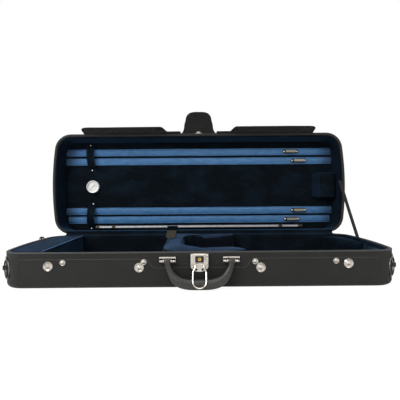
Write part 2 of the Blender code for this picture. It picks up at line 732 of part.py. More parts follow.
def build_lever(pivot, reach):
    """Lever between the cheeks, hinged at its top, with the key barrel in it and a lug on each side."""
    half = LOCK_WIDTH / 2 - CHEEK_WIDTH - RUNNING
    depth = LEVER_DEPTH / 2
    raised = Matrix.Translation((0, 0, pivot.z))
    key_height = BASE_HEIGHT - KEY_DROP
    lug_height = BASE_HEIGHT - BAIL_DROP
    axis = axis_empty("lever_axis", pivot)
    pin_drop = LOCK_TOP_DROP + LEVER_PIN_DROP
    pivot = Vector((0, pivot.y, 0))
    barrel = rod((-half, pivot.y, pivot.z), (half, pivot.y, pivot.z), depth)
    foot = pivot.z - LEVER_LENGTH + GAP
    plate = block((-half, pivot.y - depth, foot), (half, pivot.y + depth, pivot.z - GAP))
    lip_z = pivot.z - LEVER_LENGTH + LEVER_LIP
    lip = rod((-half, pivot.y - depth, lip_z), (half, pivot.y - depth, lip_z), LEVER_LIP)
    pin = rod((-reach, pivot.y, pivot.z), (reach, pivot.y, pivot.z), LEVER_PIN_RADIUS)
    key_z = pin_drop - KEY_DROP
    lug_y = FRONT - BAIL_OUT
    lug_z = pin_drop - BAIL_DROP
    lug_half = BAIL_HALF_WIDTH + BAIL_WIRE + BAIL_LUG_SIDE
    lug = block((-lug_half, lug_y - BAIL_LUG, lug_z - BAIL_LUG), (lug_half, pivot.y, lug_z + BAIL_LUG))
    solid = combine(plate, [barrel, lip, pin, lug], "UNION")
    gap_half = BAIL_HALF_WIDTH - BAIL_WIRE - BAIL_LUG_SIDE
    front, under, over = lug_y - CUT_REACH, lug_z - CUT_REACH, lug_z + CUT_REACH
    face = pivot.y - depth - GAP
    middle = block((-gap_half, front, under), (gap_half, face, over))
    slots = []
    for side in (-1, 1):
        near, far = sorted((side * (BAIL_HALF_WIDTH - BAIL_WIRE - GAP), side * (BAIL_HALF_WIDTH + CUT_REACH)))
        slots.append(block((near, front, under), (far, face, over)))
    trunnion = rod((-BAIL_HALF_WIDTH, lug_y, lug_z), (BAIL_HALF_WIDTH, lug_y, lug_z), BAIL_WIRE + GAP)
    well = rod((0, front, key_z), (0, pivot.y + depth - LEVER_BACK, key_z), KEY_RADIUS + GAP, 20)
    solid = combine(solid, [middle] + slots + [trunnion, well], "DIFFERENCE")
    solid.transform(raised)
    hang(node("lock_lever", solid, NICKEL), axis)
    build_key_barrel(axis, pivot, key_height, depth)
    build_bail(axis, Vector((0, lug_y, lug_height)))


def build_key_barrel(lever, pivot, key_z, depth):
    """Brass barrel with a key slot, turning in the lever."""
    front = pivot.y - depth - KEY_PROUD
    rear = pivot.y + depth - LEVER_BACK - GAP
    barrel = rod((0, front, key_z), (0, rear, key_z), KEY_RADIUS, 20)
    wide, tall, sunk = KEY_SLOT
    out, high = front - KEY_PROUD, key_z + tall / 2 - KEY_EYE_RADIUS
    slot = block((-wide / 2, out, key_z - tall / 2), (wide / 2, front + sunk, high))
    eye = rod((0, out, high), (0, front + sunk, high), KEY_EYE_RADIUS, 10)
    solid = combine(barrel, [slot, eye], "DIFFERENCE")
    axis = axis_empty("key_axis", Vector((0, front, key_z)), lever)
    hang(node("key_barrel", solid, BRASS), axis)


def build_bail(lever, pivot):
    """Long wire loop that hooks over the lid's catch. It hangs over the handle."""
    bend = BAIL_WIDE / 2
    arm = BAIL_LENGTH - bend
    side = [
        (BAIL_PIVOT_END, 0.0),
        (BAIL_HALF_WIDTH, 0.0),
        (BAIL_HALF_WIDTH, BAIL_SHOULDER),
        (bend, BAIL_WIDENS_AT),
    ]
    for step in range(0, 6):
        angle = math.pi / 2 * step / 6
        side.append((bend * math.cos(angle), arm + bend * math.sin(angle)))
    line = [(x, pivot.y, pivot.z - drop) for x, drop in side]
    line += [(0, pivot.y, pivot.z - BAIL_LENGTH)]
    line += [(-x, y, z) for x, y, z in reversed(line[:-1])]
    axis = axis_empty("bail_axis", pivot, lever)
    hang(node("lock_bail", wire(line, BAIL_WIRE), NICKEL), axis)
    axis.rotation_euler = (-BAIL_LEAN, 0, 0)


def corner_frame(side):
    """A frame on the front corner: x along the cover, y out of it, z up. side is -1 left, +1 right."""
    end_radius = (HALF_WIDTH**2 + END_ARCH**2) / (2 * END_ARCH)
    end_x = HALF_LENGTH - end_radius
    corner_y = HALF_WIDTH - CORNER_RADIUS
    corner_x = end_x + math.sqrt((end_radius - CORNER_RADIUS) ** 2 - corner_y**2)
    out = Vector((side * math.cos(CHAPE_ANGLE), -math.sin(CHAPE_ANGLE), 0))
    along = Vector((-side * math.sin(CHAPE_ANGLE), -math.cos(CHAPE_ANGLE), 0))
    up = Vector((0, 0, 1))
    place = Vector((side * corner_x, -corner_y, RING_CENTRE_Z)) + out * CORNER_RADIUS
    frame = Matrix((along, out, up)).transposed().to_4x4()
    frame.translation = place
    return frame


def build_ring(name, side):
    """Round ring in a leather chape that bends round the front corner."""
    frame = corner_frame(side)
    inner = CORNER_RADIUS + GAP
    outer = inner + CHAPE_THICKNESS
    sweep = CHAPE_WIDTH / CORNER_RADIUS
    steps = 4
    outline = [
        arc_point(0, -CORNER_RADIUS, outer, math.pi / 2 - sweep / 2 + sweep * step / steps)
        for step in range(steps + 1)
    ]
    outline += [
        arc_point(0, -CORNER_RADIUS, inner, math.pi / 2 + sweep / 2 - sweep * step / steps)
        for step in range(steps + 1)
    ]
    strap = slab("strap", outline, -CHAPE_HEIGHT / 2, CHAPE_HEIGHT / 2)
    hold = RING_WIRE + RING_PLAY
    centre_out = CHAPE_THICKNESS + GAP + hold
    loop_out = centre_out + hold + CHAPE_LOOP_WALL
    half = hold + CHAPE_LOOP_WALL
    low, high = -CHAPE_LOOP_HEIGHT / 2, CHAPE_LOOP_HEIGHT / 2
    band = block((-half, CHAPE_THICKNESS / 2, low), (half, loop_out, high))
    hole = rod((0, centre_out, low * 2), (0, centre_out, high * 2), hold)
    leather = combine(combine(strap, [band], "UNION"), [hole], "DIFFERENCE")
    leather.transform(frame)
    node(f"ring_chape_{name}", oriented(leather), LEATHER)
    turns = [2 * math.pi * step / RING_STEPS for step in range(RING_STEPS)]
    circle = [(RING_RADIUS * (1 - math.cos(turn)), centre_out, RING_RADIUS * math.sin(turn)) for turn in turns]
    points = [frame @ Vector(point) for point in circle]
    axis = axis_empty(f"ring_axis_{name}", frame @ Vector((0, centre_out, 0)))
    hang(node(f"carry_ring_{name}", wire(points, RING_WIRE, closed=True), NICKEL), axis)
    axis.rotation_euler = (0, 0, -side * RING_LEAN)


def oriented(mesh):
    """The mesh with its faces pointing out, for one that was mirrored into place."""
    bm = bmesh.new()
    bm.from_mesh(mesh)
    return mesh_of(mesh.name, bm)


def build_compartment():
    """Accessory compartment at the left end: divider, hinged lid and its pull tab."""
    seat = BASE_HEIGHT - RIM_STEP - FLAP_BOARD - GAP
    half = HALF_WIDTH - LINING_IN - GAP
    left = COMPARTMENT_X - DIVIDER
    node(
        "compartment_divider",
        block((left, -half, FLOOR_TOP + GAP), (COMPARTMENT_X, half, seat)),
        VELVET,
    )
    axis = axis_empty("accessory_lid_axis", Vector((COMPARTMENT_X, 0, BASE_HEIGHT - RIM_STEP)))
    clear = LINING_IN + GAP
    plan = [(x, y) for x, y in case_outline(clear) if x < COMPARTMENT_X]
    reach = max(y for _, y in plan)
    plan = sorted(plan, key=lambda p: math.atan2(p[1], p[0]) % (2 * math.pi))
    plan = [(COMPARTMENT_X, reach)] + plan + [(COMPARTMENT_X, -reach)]
    board = slab("accessory_lid", plan, BASE_HEIGHT - RIM_STEP - FLAP_BOARD, BASE_HEIGHT - RIM_STEP)
    hang(node("accessory_lid", board, CUSHION_VELVET), axis)
    build_pull_tab(axis)


def build_pull_tab(axis):
    """Small leather tab that stands up from the accessory lid on a flat foot."""
    low = BASE_HEIGHT - RIM_STEP + GAP
    half = TAB_WIDTH / 2
    wide = half + GAP
    foot = block((TAB_X - wide, TAB_Y - TAB_FOOT, low), (TAB_X + wide, TAB_Y, low + TAB_LEATHER))
    stand = TAB_HEIGHT - half
    outline = [(-half, 0), (half, 0)] + [arc_point(0, stand, half, math.pi * step / 8) for step in range(9)]
    blade = slab("blade", outline, 0, TAB_LEATHER)
    root = Matrix.Translation((TAB_X, TAB_Y - GAP, low + TAB_LEATHER / 2))
    blade.transform(root @ Matrix.Rotation(math.pi / 2, 4, "X"))
    hang(node("pull_tab", combine(foot, [blade], "UNION"), LEATHER), axis)


def cushion_plan():
    """U-shaped plan of the neck cushion: a nose and two arms along the walls, the front one tapered."""
    wall = HALF_WIDTH - LINING_IN - GAP
    corner_x = CAVITY_LEFT + CAVITY_ROUND
    corner_y = CAVITY_HALF - CAVITY_ROUND
    turns = [math.pi / 2 * step / 6 for step in range(7)]
    cavity = [arc_point(corner_x, -corner_y, CAVITY_ROUND, -math.pi / 2 - turn) for turn in turns]
    cavity += [arc_point(corner_x, corner_y, CAVITY_ROUND, math.pi - turn) for turn in turns]
    plan = [(CUSHION_LEFT, -wall), (CUSHION_TIP, -wall), (CUSHION_TIP - ARM_TAPER, -CAVITY_HALF)]
    plan += cavity
    return plan + [(CUSHION_TIP, CAVITY_HALF), (CUSHION_TIP, wall), (CUSHION_LEFT, wall)]


def build_cushions():
    """Neck cushion with its strap, and the two end cushions shaped to the instrument's lower end."""
    low = FLOOR_TOP + GAP
    soft = node("neck_cushion", slab("neck_cushion", cushion_plan(), low, CUSHION_TOP), CUSHION_VELVET)
    crown = soft.modifiers.new("crown", "BEVEL")
    crown.width = CUSHION_ROUND
    crown.segments = 3
    crown.limit_method = "ANGLE"
    crown.angle_limit = math.radians(40)
    root = Vector((STRAP_X, STRAP_Y, CUSHION_TOP + GAP + STRAP_FOOT))
    axis = axis_empty("neck_strap_axis", root)
    half = STRAP_WIDTH / 2
    thick = STRAP_THICKNESS / 2
    left, right, top = STRAP_X - half, STRAP_X + half, root.z + STRAP_HEIGHT
    strap = block((left, STRAP_Y - thick, root.z), (right, STRAP_Y + thick, top))
    foot = rod((left - GAP, STRAP_Y, root.z), (right + GAP, STRAP_Y, root.z), STRAP_FOOT)
    fold = rod((left - GAP, STRAP_Y, top), (right + GAP, STRAP_Y, top), STRAP_FOLD)
    hang(node("neck_strap", combine(strap, [foot, fold], "UNION"), VELVET), axis)
    for name, near, far in (("rear", END_PAD_SLOT[1], 1), ("front", END_PAD_SLOT[0], -1)):
        node(f"end_cushion_{name}", end_cushion(name, near, far), VELVET)


def end_cushion(name, near, side):
    """Pad between the arched lining and the round of the instrument's lower end."""
    clear = LINING_IN + GAP
    wall = HALF_WIDTH - clear
    centre = END_PAD_X - END_PAD_RADIUS
    steps = 9
    inner = []
    for step in range(steps + 1):
        y = near + (side * wall - near) * step / steps
        inner.append((centre + math.sqrt(END_PAD_RADIUS**2 - y**2), y))
    tip_x = inner[-1][0]
    outer = [(x, y) for x, y in case_outline(clear) if x > tip_x and side * (y - near) > LINING_FILLET]
    outer = sorted(outer, key=lambda p: math.atan2(p[1] * side, p[0]))
    plan = [(wall_x(clear, near), near)] + outer + inner[::-1]
    return slab(name, plan, FLOOR_TOP + GAP, BASE_HEIGHT - END_PAD_DROP)


def build_stay():
    """Cloth stay from the lid's right wall to the base's right rim, taut when the lid is open."""
    swing = Matrix.Rotation(-OPEN_ANGLE, 4, "X")
    shut = Vector((STAY_X, HALF_WIDTH - STAY_LID_V, LID_RIM + RIM_STEP)) - HINGE_AXIS
    top = HINGE_AXIS + swing @ shut + Vector((0, -STAY_THICKNESS, 0))
    bottom = Vector((STAY_X, STAY_BASE_Y, BASE_HEIGHT + GAP * 2))
    run = top - bottom
    across = Vector((1, 0, 0)).cross(run).normalized()
    half = STAY_WIDTH / 2
    corners = [bottom - across * half, bottom + across * half, top + across * half, top - across * half]
    bm = bmesh.new()
    base = bm.faces.new([bm.verts.new(c - Vector((STAY_THICKNESS / 2, 0, 0))) for c in corners])
    grown = bmesh.ops.extrude_face_region(bm, geom=[base])
    far = [v for v in grown["geom"] if isinstance(v, bmesh.types.BMVert)]
    bmesh.ops.translate(bm, verts=far, vec=(STAY_THICKNESS, 0, 0))
    node("lid_stay", mesh_of("lid_stay", bm), CLOTH)


def build_bow_fittings(axis):
    """Satin bow bands, the loops for the frogs, and the turn buttons that hold the sticks."""
    back = LID_HOLLOW - GAP
    face = back - BAND_THICKNESS
    for number, v in enumerate(BAND_VS, 1):
        half = BAND_WIDTH / 2
        panel_edge = LINING_IN + LID_WALL_DRAFT + LINING_FILLET + GAP
        reach = wall_x(panel_edge, abs(v - HALF_WIDTH) + half)
        low = lid_point(-reach, v + half, face)
        high = lid_point(reach, v - half, back)
        band = node(f"bow_band_{number}", block(low, high), SATIN)
        soft = band.modifiers.new("soft", "BEVEL")
        soft.width = BAND_THICKNESS * 0.4
        soft.segments = 2
        hang(band, axis)
    for name, x, low, high in LOOPS:
        hang(node(f"frog_loop_{name}", frog_loop(x, low, high), VELVET), axis)
    build_spinners(axis, face)


def frog_loop(x, low, high):
    """Velvet strap that rises over two bands, with a flat foot at each end."""
    foot = LOOP_FOOT
    span = high - low
    steps = 12
    outer, inner = [], []
    for step in range(steps + 1):
        v = low - foot / 2 + (span + foot) * step / steps
        inside = min(max((v - low - foot / 2) / (span - foot), 0.0), 1.0)
        rise = LOOP_RISE * math.sin(math.pi * inside) ** LOOP_FULLNESS
        depth = LID_HOLLOW - GAP - rise
        inner.append((v, depth))
        outer.append((v, depth - LOOP_LEATHER))
    bm = bmesh.new()
    base = bm.faces.new([bm.verts.new(lid_point(x - LOOP_WIDTH / 2, v, d)) for v, d in outer + inner[::-1]])
    grown = bmesh.ops.extrude_face_region(bm, geom=[base])
    far = [v for v in grown["geom"] if isinstance(v, bmesh.types.BMVert)]
    bmesh.ops.translate(bm, verts=far, vec=(LOOP_WIDTH, 0, 0))
    return mesh_of("frog_loop", bm)


def build_spinners(axis, face):
    """Four oblong plates on the bands, each with a bar that turns across the bow stick."""
    length, width, thick = SPINNER_PLATE
    bar_length, bar_width, bar_thick = SPINNER_BAR
    for number, (x, row) in enumerate(SPINNER_PLACES, 1):
        v = BAND_VS[row]
        seat = face - GAP
        half = (length - width) / 2
        outline = [arc_point(half, 0, width / 2, math.pi * step / 8 - math.pi / 2) for step in range(9)]
        outline += [arc_point(-half, 0, width / 2, math.pi * step / 8 + math.pi / 2) for step in range(9)]
        plate = slab("plate", outline, 0, thick)
        plate.transform(facing_hollow(x, v, seat))
        hang(node(f"spinner_plate_{number}", plate, BLACK_METAL), axis)
        pivot = lid_point(x, v, seat - thick - GAP)
        turn = axis_empty(f"spinner_axis_{number}", pivot, axis)
        post = rod((0, 0, 0), (0, 0, SPINNER_POST_LENGTH), SPINNER_POST)
        corner = (-bar_length / 2, -bar_width / 2, SPINNER_LIFT)
        bar = block(corner, (bar_length / 2, bar_width / 2, SPINNER_LIFT + bar_thick))
        solid = combine(bar, [post], "UNION")
        solid.transform(facing_hollow(x, v, seat - thick - GAP))
        hang(node(f"bow_spinner_{number}", solid, BLACK_METAL), turn)


def build_hygrometer(axis):
    """Dial hygrometer: chromed case, dial, needle on its arbor, and glass."""
    place = facing_hollow(HYGROMETER_X, HYGROMETER_V, LID_HOLLOW - GAP)
    radius, depth = HYGROMETER_RADIUS, HYGROMETER_DEPTH
    inner = radius - BEZEL
    glass_top = depth - GLASS_DROP - GAP
    hang(node("hygrometer_case", moved(hygrometer_cup(radius, inner, depth), place), NICKEL), axis)
    dial_low = DIAL_FLOOR + GAP
    dial_top = dial_low + DIAL_THICKNESS
    dial = rod((0, 0, dial_low), (0, 0, dial_top), inner - GAP, 32)
    hang(node("hygrometer_dial", moved(dial, place), DIAL_WHITE), axis)
    glass = rod((0, 0, glass_top - GLASS_THICKNESS), (0, 0, glass_top), inner - GAP, 32)
    hang(node("hygrometer_glass", moved(glass, place), GLASS), axis)
    low = dial_top + GAP
    hub_radius, hub_tall = NEEDLE_HUB
    hub = rod((0, 0, low), (0, 0, low + hub_tall), hub_radius, 10)
    under, over = low + hub_tall / 4, low + hub_tall * 3 / 4
    arm = block((-NEEDLE_TAIL, -NEEDLE_WIDTH / 2, under), (NEEDLE_LENGTH, NEEDLE_WIDTH / 2, over))
    end = -NEEDLE_TAIL - NEEDLE_TAIL_BALL / 2
    tail = rod((end, 0, low + hub_tall / 8), (end, 0, low + hub_tall * 7 / 8), NEEDLE_TAIL_BALL, 10)
    needle = combine(arm, [hub, tail], "UNION")
    needle.transform(Matrix.Rotation(NEEDLE_REST, 4, "Z"))
    pivot = place @ Vector((0, 0, low))
    turn = axis_empty("needle_axis", pivot, axis)
    hang(node("hygrometer_needle", moved(needle, place), NEEDLE_BLACK), turn)


def hygrometer_cup(radius, inner, depth):
    """A shallow cup whose bezel lip holds the glass."""
    seat = depth - GLASS_DROP
    cup = rod((0, 0, 0), (0, 0, depth), radius, 32)
    well = rod((0, 0, DIAL_FLOOR), (0, 0, seat), inner, 32)
    mouth = rod((0, 0, seat - BEZEL_LIP / 2), (0, 0, depth + BEZEL_LIP), inner - BEZEL_LIP, 32)
    return combine(cup, [well, mouth], "DIFFERENCE")


def build_string_tube(axis):
    """Tube for spare strings in two clips, with a push-on cap at its right end."""
    depth = LID_HOLLOW - GAP - CLIP_WALL - GAP - TUBE_RADIUS
    start = lid_point(TUBE_FROM, TUBE_V, depth)
    end = lid_point(TUBE_TO - CAP_LENGTH + CAP_OVER, TUBE_V, depth)
    body = rod(start, end, TUBE_HOLD - GAP, 16)
    mouth = end + Vector((TUBE_WALL, 0, 0))
    bore = rod(start + Vector((TUBE_FOOT, 0, 0)), mouth, TUBE_HOLD - GAP - TUBE_WALL, 16)
    foot = rod(start, start + Vector((TUBE_FOOT, 0, 0)), TUBE_RADIUS, 16)
    slide = axis_empty("tube_axis", Vector(lid_point(0, TUBE_V, depth)), axis)
    solid = combine(combine(body, [foot], "UNION"), [bore], "DIFFERENCE")
    hang(node("string_tube", solid, ALUMINIUM), slide)
    tip = lid_point(TUBE_TO, TUBE_V, depth)
    cap = rod(lid_point(TUBE_TO - CAP_LENGTH, TUBE_V, depth), tip, TUBE_RADIUS, 16)
    socket = rod(
        lid_point(TUBE_TO - CAP_LENGTH - CAP_WALL, TUBE_V, depth), end + Vector((CAP_HEADROOM, 0, 0)), TUBE_HOLD, 16
    )
    pull = axis_empty("cap_axis", tip, slide)
    hang(node("string_tube_cap", combine(cap, [socket], "DIFFERENCE"), BLACK_METAL), pull)
    for name, x in zip(("left", "right"), CLIP_XS):
        half = CLIP_WIDTH / 2
        outer = TUBE_HOLD + CLIP_WALL
        ring = rod(lid_point(x - half, TUBE_V, depth), lid_point(x + half, TUBE_V, depth), outer, 16)
        low = lid_point(x - half, TUBE_V + TUBE_HOLD, depth)
        high = lid_point(x + half, TUBE_V - TUBE_HOLD, LID_HOLLOW - GAP)
        seat = block(low, high)
        reach = CLIP_WIDTH
        hole = rod(lid_point(x - reach, TUBE_V, depth), lid_point(x + reach, TUBE_V, depth), TUBE_HOLD, 16)
        clip = combine(combine(ring, [seat], "UNION"), [hole], "DIFFERENCE")
        hang(node(f"tube_clip_{name}", clip, BLACK_METAL), axis)


def pocket_plan(inset):
    """Plan of the pocket in (x, depth): a slanted side at the left, a flat front."""
    left, right = POCKET_XS
    back = LID_HOLLOW - GAP
    front = back - POCKET_DEPTH
    slant = [(left + inset, back), (left + POCKET_SLANT + inset, front + inset)]
    return slant + [(right - inset, front + inset), (right - inset, back)]


def build_pocket(axis):
    """Velvet pocket on the lid's panel by the right wall, open towards the lid's front edge."""
    low_v, high_v = POCKET_VS

    def prism(plan, from_v, to_v):
        bm = bmesh.new()
        base = bm.faces.new([bm.verts.new(lid_point(x, from_v, depth)) for x, depth in plan])
        grown = bmesh.ops.extrude_face_region(bm, geom=[base])
        far = [v for v in grown["geom"] if isinstance(v, bmesh.types.BMVert)]
        bmesh.ops.translate(bm, verts=far, vec=(0, from_v - to_v, 0))
        return mesh_of("prism", bm)

    outer = prism(pocket_plan(0.0), low_v, high_v)
    hollow = [(x, min(depth, LID_HOLLOW - GAP - POCKET_CLOTH)) for x, depth in pocket_plan(POCKET_CLOTH)]
    inner = prism(hollow, low_v + POCKET_CLOTH, high_v + CUT_REACH)
    hang(node("lid_pocket", combine(outer, [inner], "DIFFERENCE"), VELVET), axis)


def build_catch(axis):
    """Keeper on the lid's front that the bail hooks over."""
    half = CATCH_WIDTH / 2
    back = FRONT - GAP
    low = LID_RIM + CATCH_ABOVE_RIM
    plate = block((-half, back - CATCH_PLATE, low), (half, back, low + CATCH_HEIGHT))
    neck = CATCH_ARM_WIDTH / 2
    under, over = low + CATCH_ARM[0], low + CATCH_ARM[1]
    arm = block((-neck, back - CATCH_HOOK, under), (neck, back - GAP, over))
    lip = block((-neck, back - CATCH_HOOK - CATCH_PLATE, under), (neck, back - CATCH_HOOK, low + CATCH_HEIGHT))
    hang(node("lid_catch", combine(plate, [arm, lip], "UNION"), NICKEL), axis)


def build_rain_flap(axis):
    """Cloth flap sewn along the lid's front edge: a wing each side of the lock, and a middle tab."""
    hanging = Matrix.Rotation(math.pi / 2, 4, "X")
    seam = Vector((0, FRONT - GAP - FLAP_CLOTH / 2, LID_RIM + FLAP_SEAM))
    wing_axis = axis_empty("rain_flap_axis", seam, axis)
    for name, side in (("left", -1), ("right", 1)):
        plan = [(side * x, y) for x, y in wing_plan()]
        wing = slab("wing", plan[::side], -FLAP_CLOTH / 2, FLAP_CLOTH / 2)
        wing.transform(Matrix.Translation(seam) @ hanging)
        hang(node(f"rain_flap_{name}", wing, CLOTH), wing_axis)
    wing_axis.rotation_euler = (-FLAP_LEAN, 0, 0)
    root = Vector((0, seam.y, LID_RIM + CATCH_ABOVE_RIM + CATCH_HEIGHT + TAB_FLAP_ABOVE_CATCH))
    tab_axis = axis_empty("flap_tab_axis", root, axis)
    tab = slab("flap_tab", tab_plan(), -FLAP_CLOTH / 2, FLAP_CLOTH / 2)
    tab.transform(Matrix.Translation(root) @ hanging)
    hang(node("flap_tab", tab, CLOTH), tab_axis)
    tab_axis.rotation_euler = (-TAB_FLAP_LEAN, 0, 0)


def wing_plan():
    """Right wing, hanging down from the seam: narrow past the handle's bracket, full from there on."""
    foot = -FLAP_WIDTH
    turns = [math.pi / 2 * step / 3 for step in range(4)]
    round_x, round_y = FLAP_HALF_LENGTH - FLAP_ROUND, foot + FLAP_ROUND
    corner = [arc_point(round_x, round_y, FLAP_ROUND, turn - math.pi / 2) for turn in turns]
    fall = foot + FLAP_NARROW
    shoulder = [
        (FLAP_NOTCH + FLAP_SLOPE * step / 4, -FLAP_NARROW + fall * (1 - math.cos(math.pi * step / 4)) / 2)
        for step in range(5)
    ]
    return [(FLAP_INNER, 0), (FLAP_INNER, -FLAP_NARROW)] + shoulder + corner + [(FLAP_HALF_LENGTH, 0)]


def tab_plan():
    """Middle tab, hanging down from the seam: a wide root, then a tongue with round corners."""
    foot = -TAB_FLAP_LENGTH
    root = TAB_FLAP_BASE - TAB_FLAP_HALF
    turns = [math.pi / 2 * step / 4 for step in range(5)]
    side = [(TAB_FLAP_BASE, TAB_FLAP_SEWN)]
    side += [
        (TAB_FLAP_BASE - root * math.sin(turn), -root * 2 * (1 - math.cos(turn)) - TAB_FLAP_SQUARE)
        for turn in turns[1:]
    ]
    round_x = TAB_FLAP_HALF - TAB_FLAP_TAPER - TAB_FLAP_ROUND
    side += [arc_point(round_x, foot + TAB_FLAP_ROUND, TAB_FLAP_ROUND, -turn) for turn in turns]
    return [(-x, y) for x, y in side] + side[::-1]


def main():
    """Build every sub-part, then swing the lid open."""
    lid_axis = axis_empty("lid_axis", HINGE_AXIS)
    build_base()
    build_lid(lid_axis)
    build_hinge(lid_axis)
    build_handle()
    build_lock()
    build_ring("left", -1)
    build_ring("right", 1)
    build_compartment()
    build_cushions()
    build_bow_fittings(lid_axis)
    build_hygrometer(lid_axis)
    build_string_tube(lid_axis)
    build_pocket(lid_axis)
    build_catch(lid_axis)
    build_rain_flap(lid_axis)
    build_stay()
    lid_axis.rotation_euler = (-OPEN_ANGLE, 0, 0)


main()
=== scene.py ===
"""Looks of an open viola case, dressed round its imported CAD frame.

Metres, +Z up, X along the case, the handle at -Y. Lid pieces are made as they lie with the lid
shut and are then carried open on the hinge line.
"""
from __future__ import annotations

import json
import logging
from dataclasses import dataclass
from enum import Enum
from math import atan2, cos, hypot, pi, radians, sin, sqrt
from typing import Callable, Iterable, Sequence

import bmesh
import bpy
from mathutils import Matrix, Vector, noise

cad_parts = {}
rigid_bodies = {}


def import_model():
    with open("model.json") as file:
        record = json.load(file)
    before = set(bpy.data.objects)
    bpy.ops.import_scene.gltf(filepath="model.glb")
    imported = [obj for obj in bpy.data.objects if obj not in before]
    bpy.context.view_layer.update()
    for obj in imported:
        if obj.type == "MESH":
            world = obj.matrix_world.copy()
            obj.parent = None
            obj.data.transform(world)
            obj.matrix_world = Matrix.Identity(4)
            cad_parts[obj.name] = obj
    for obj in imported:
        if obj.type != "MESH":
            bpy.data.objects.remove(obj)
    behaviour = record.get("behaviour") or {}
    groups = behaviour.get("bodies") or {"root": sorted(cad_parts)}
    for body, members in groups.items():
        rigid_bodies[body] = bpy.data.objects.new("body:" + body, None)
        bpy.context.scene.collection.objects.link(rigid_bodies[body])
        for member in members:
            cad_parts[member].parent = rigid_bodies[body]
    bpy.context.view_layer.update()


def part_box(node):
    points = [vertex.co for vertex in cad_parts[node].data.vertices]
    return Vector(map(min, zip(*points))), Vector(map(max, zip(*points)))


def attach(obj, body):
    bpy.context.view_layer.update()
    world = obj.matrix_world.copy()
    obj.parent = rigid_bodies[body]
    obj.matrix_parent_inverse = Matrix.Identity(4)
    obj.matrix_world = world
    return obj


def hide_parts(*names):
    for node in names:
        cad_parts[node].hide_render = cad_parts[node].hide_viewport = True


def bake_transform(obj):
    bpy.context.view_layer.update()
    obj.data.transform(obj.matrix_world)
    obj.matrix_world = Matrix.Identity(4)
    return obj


LOG = logging.getLogger("viola_case")
Plan = tuple[float, float]
Line = Sequence[Vector]
Triple = tuple[float, float, float]
Colour = tuple[int, int, int]
Piece = bpy.types.Object
Finish = bpy.types.Material

GAP = 0.0003
HALF_WIDTH = 0.1365
FRONT = -HALF_WIDTH
RIM = 0.0715
LID_RIM = 0.0721
LID_TOP = 0.1341
HOLLOW = 0.050
COVER_THICK = 0.001
LINING_STEP = 0.001
LINING_OUT = 0.0061
LINING_IN = 0.0114
FLOOR_TOP = 0.0141
BINDING_WIDE = 0.0072
BINDING_TALL = 0.0036
BINDING_ROUND = 0.0015
BINDING_LAP = 0.0002
BINDING_MIDDLE = 0.0032
BAND_VS = (0.0357, 0.0609, 0.2027, 0.2288)
SPINNERS = ((0.2637, 0), (0.2841, 1), (0.2861, 2), (0.2634, 3))
SIDES = (("left", -1), ("right", 1))
UP = Vector((0, 0, 1))
FRONTWARD = Vector((0, -1, 0))
CLOTH_FRAMES = 20


class Slot(Enum):
    """The record's material slots."""

    COVER = "cover_cloth"
    BINDING = "binding"
    PLYWOOD = "plywood"
    NAVY = "navy_velvet"
    BLUE = "blue_velvet"
    SATIN = "blue_satin"
    NICKEL = "nickel"
    BRASS = "brass"
    BLACK = "black_metal"
    GRIP = "handle_leather"
    LEATHER = "black_leather"
    ALUMINIUM = "tube_aluminium"
    DIAL = "dial_white"
    GLASS = "clear_glass"
    NEEDLE = "needle_black"


def linear(red: float, green: float, blue: float) -> tuple[float, float, float, float]:
    """Turn a screen colour of 0 to 255 into the linear colour that a shader takes."""
    shares = [value / 255 for value in (red, green, blue)]
    made = [s / 12.92 if s <= 0.04045 else ((s + 0.055) / 1.055) ** 2.4 for s in shares]
    return (made[0], made[1], made[2], 1.0)


class Value:
    """A socket in a node tree, with operators that add Math nodes."""

    def __init__(self, tree: Tree, socket: bpy.types.NodeSocket) -> None:
        """Keep the tree and the socket."""
        self.tree = tree
        self.socket = socket

    def maths(self, operation: str, other: Value | float = 0.0) -> Value:
        """Join this value and another with a Math node.

        Args:
            operation: The node's operation.
            other: The second value.

        Returns:
            The node's result.
        """
        return self.tree.add("ShaderNodeMath", 0, {"operation": operation}, {0: self, 1: other})

    def __add__(self, other: Value | float) -> Value:
        """Sum."""
        return self.maths("ADD", other)

    def __sub__(self, other: Value | float) -> Value:
        """Difference."""
        return self.maths("SUBTRACT", other)

    def __mul__(self, other: Value | float) -> Value:
        """Product."""
        return self.maths("MULTIPLY", other)

    def sine(self) -> Value:
        """Sine of the value, in radians."""
        return self.maths("SINE")

    def eased(self, low: float, high: float) -> Value:
        """Ease the value from 0 at low to 1 at high."""
        settings = {"interpolation_type": "SMOOTHSTEP"}
        return self.tree.add("ShaderNodeMapRange", settings=settings, inputs={0: self, 1: low, 2: high})


class Tree:
    """A node tree under construction."""

    def __init__(self, tree: bpy.types.NodeTree) -> None:
        """Keep the tree."""
        self.tree = tree

    def plug(self, socket: bpy.types.NodeSocket, value: object) -> None:
        """Link a value to a socket, or set the socket to a number or colour."""
        if isinstance(value, Value):
            self.tree.links.new(value.socket, socket)
        else:
            socket.default_value = value

    def add(
        self, kind: str, output: int | str = 0, settings: dict[str, object] | None = None,
        inputs: dict[int | str, object] | None = None,
    ) -> Value:
        """Add any node.

        Args:
            kind: The node's type.
            output: The output that is wanted.
            settings: The node's properties.
            inputs: Values for its inputs, by name or number.

        Returns:
            The wanted output.
        """
        node = self.tree.nodes.new(kind)
        for name, value in (settings or {}).items():
            setattr(node, name, value)
        for name, value in (inputs or {}).items():
            self.plug(node.inputs[name], value)
        return Value(self, node.outputs[output])


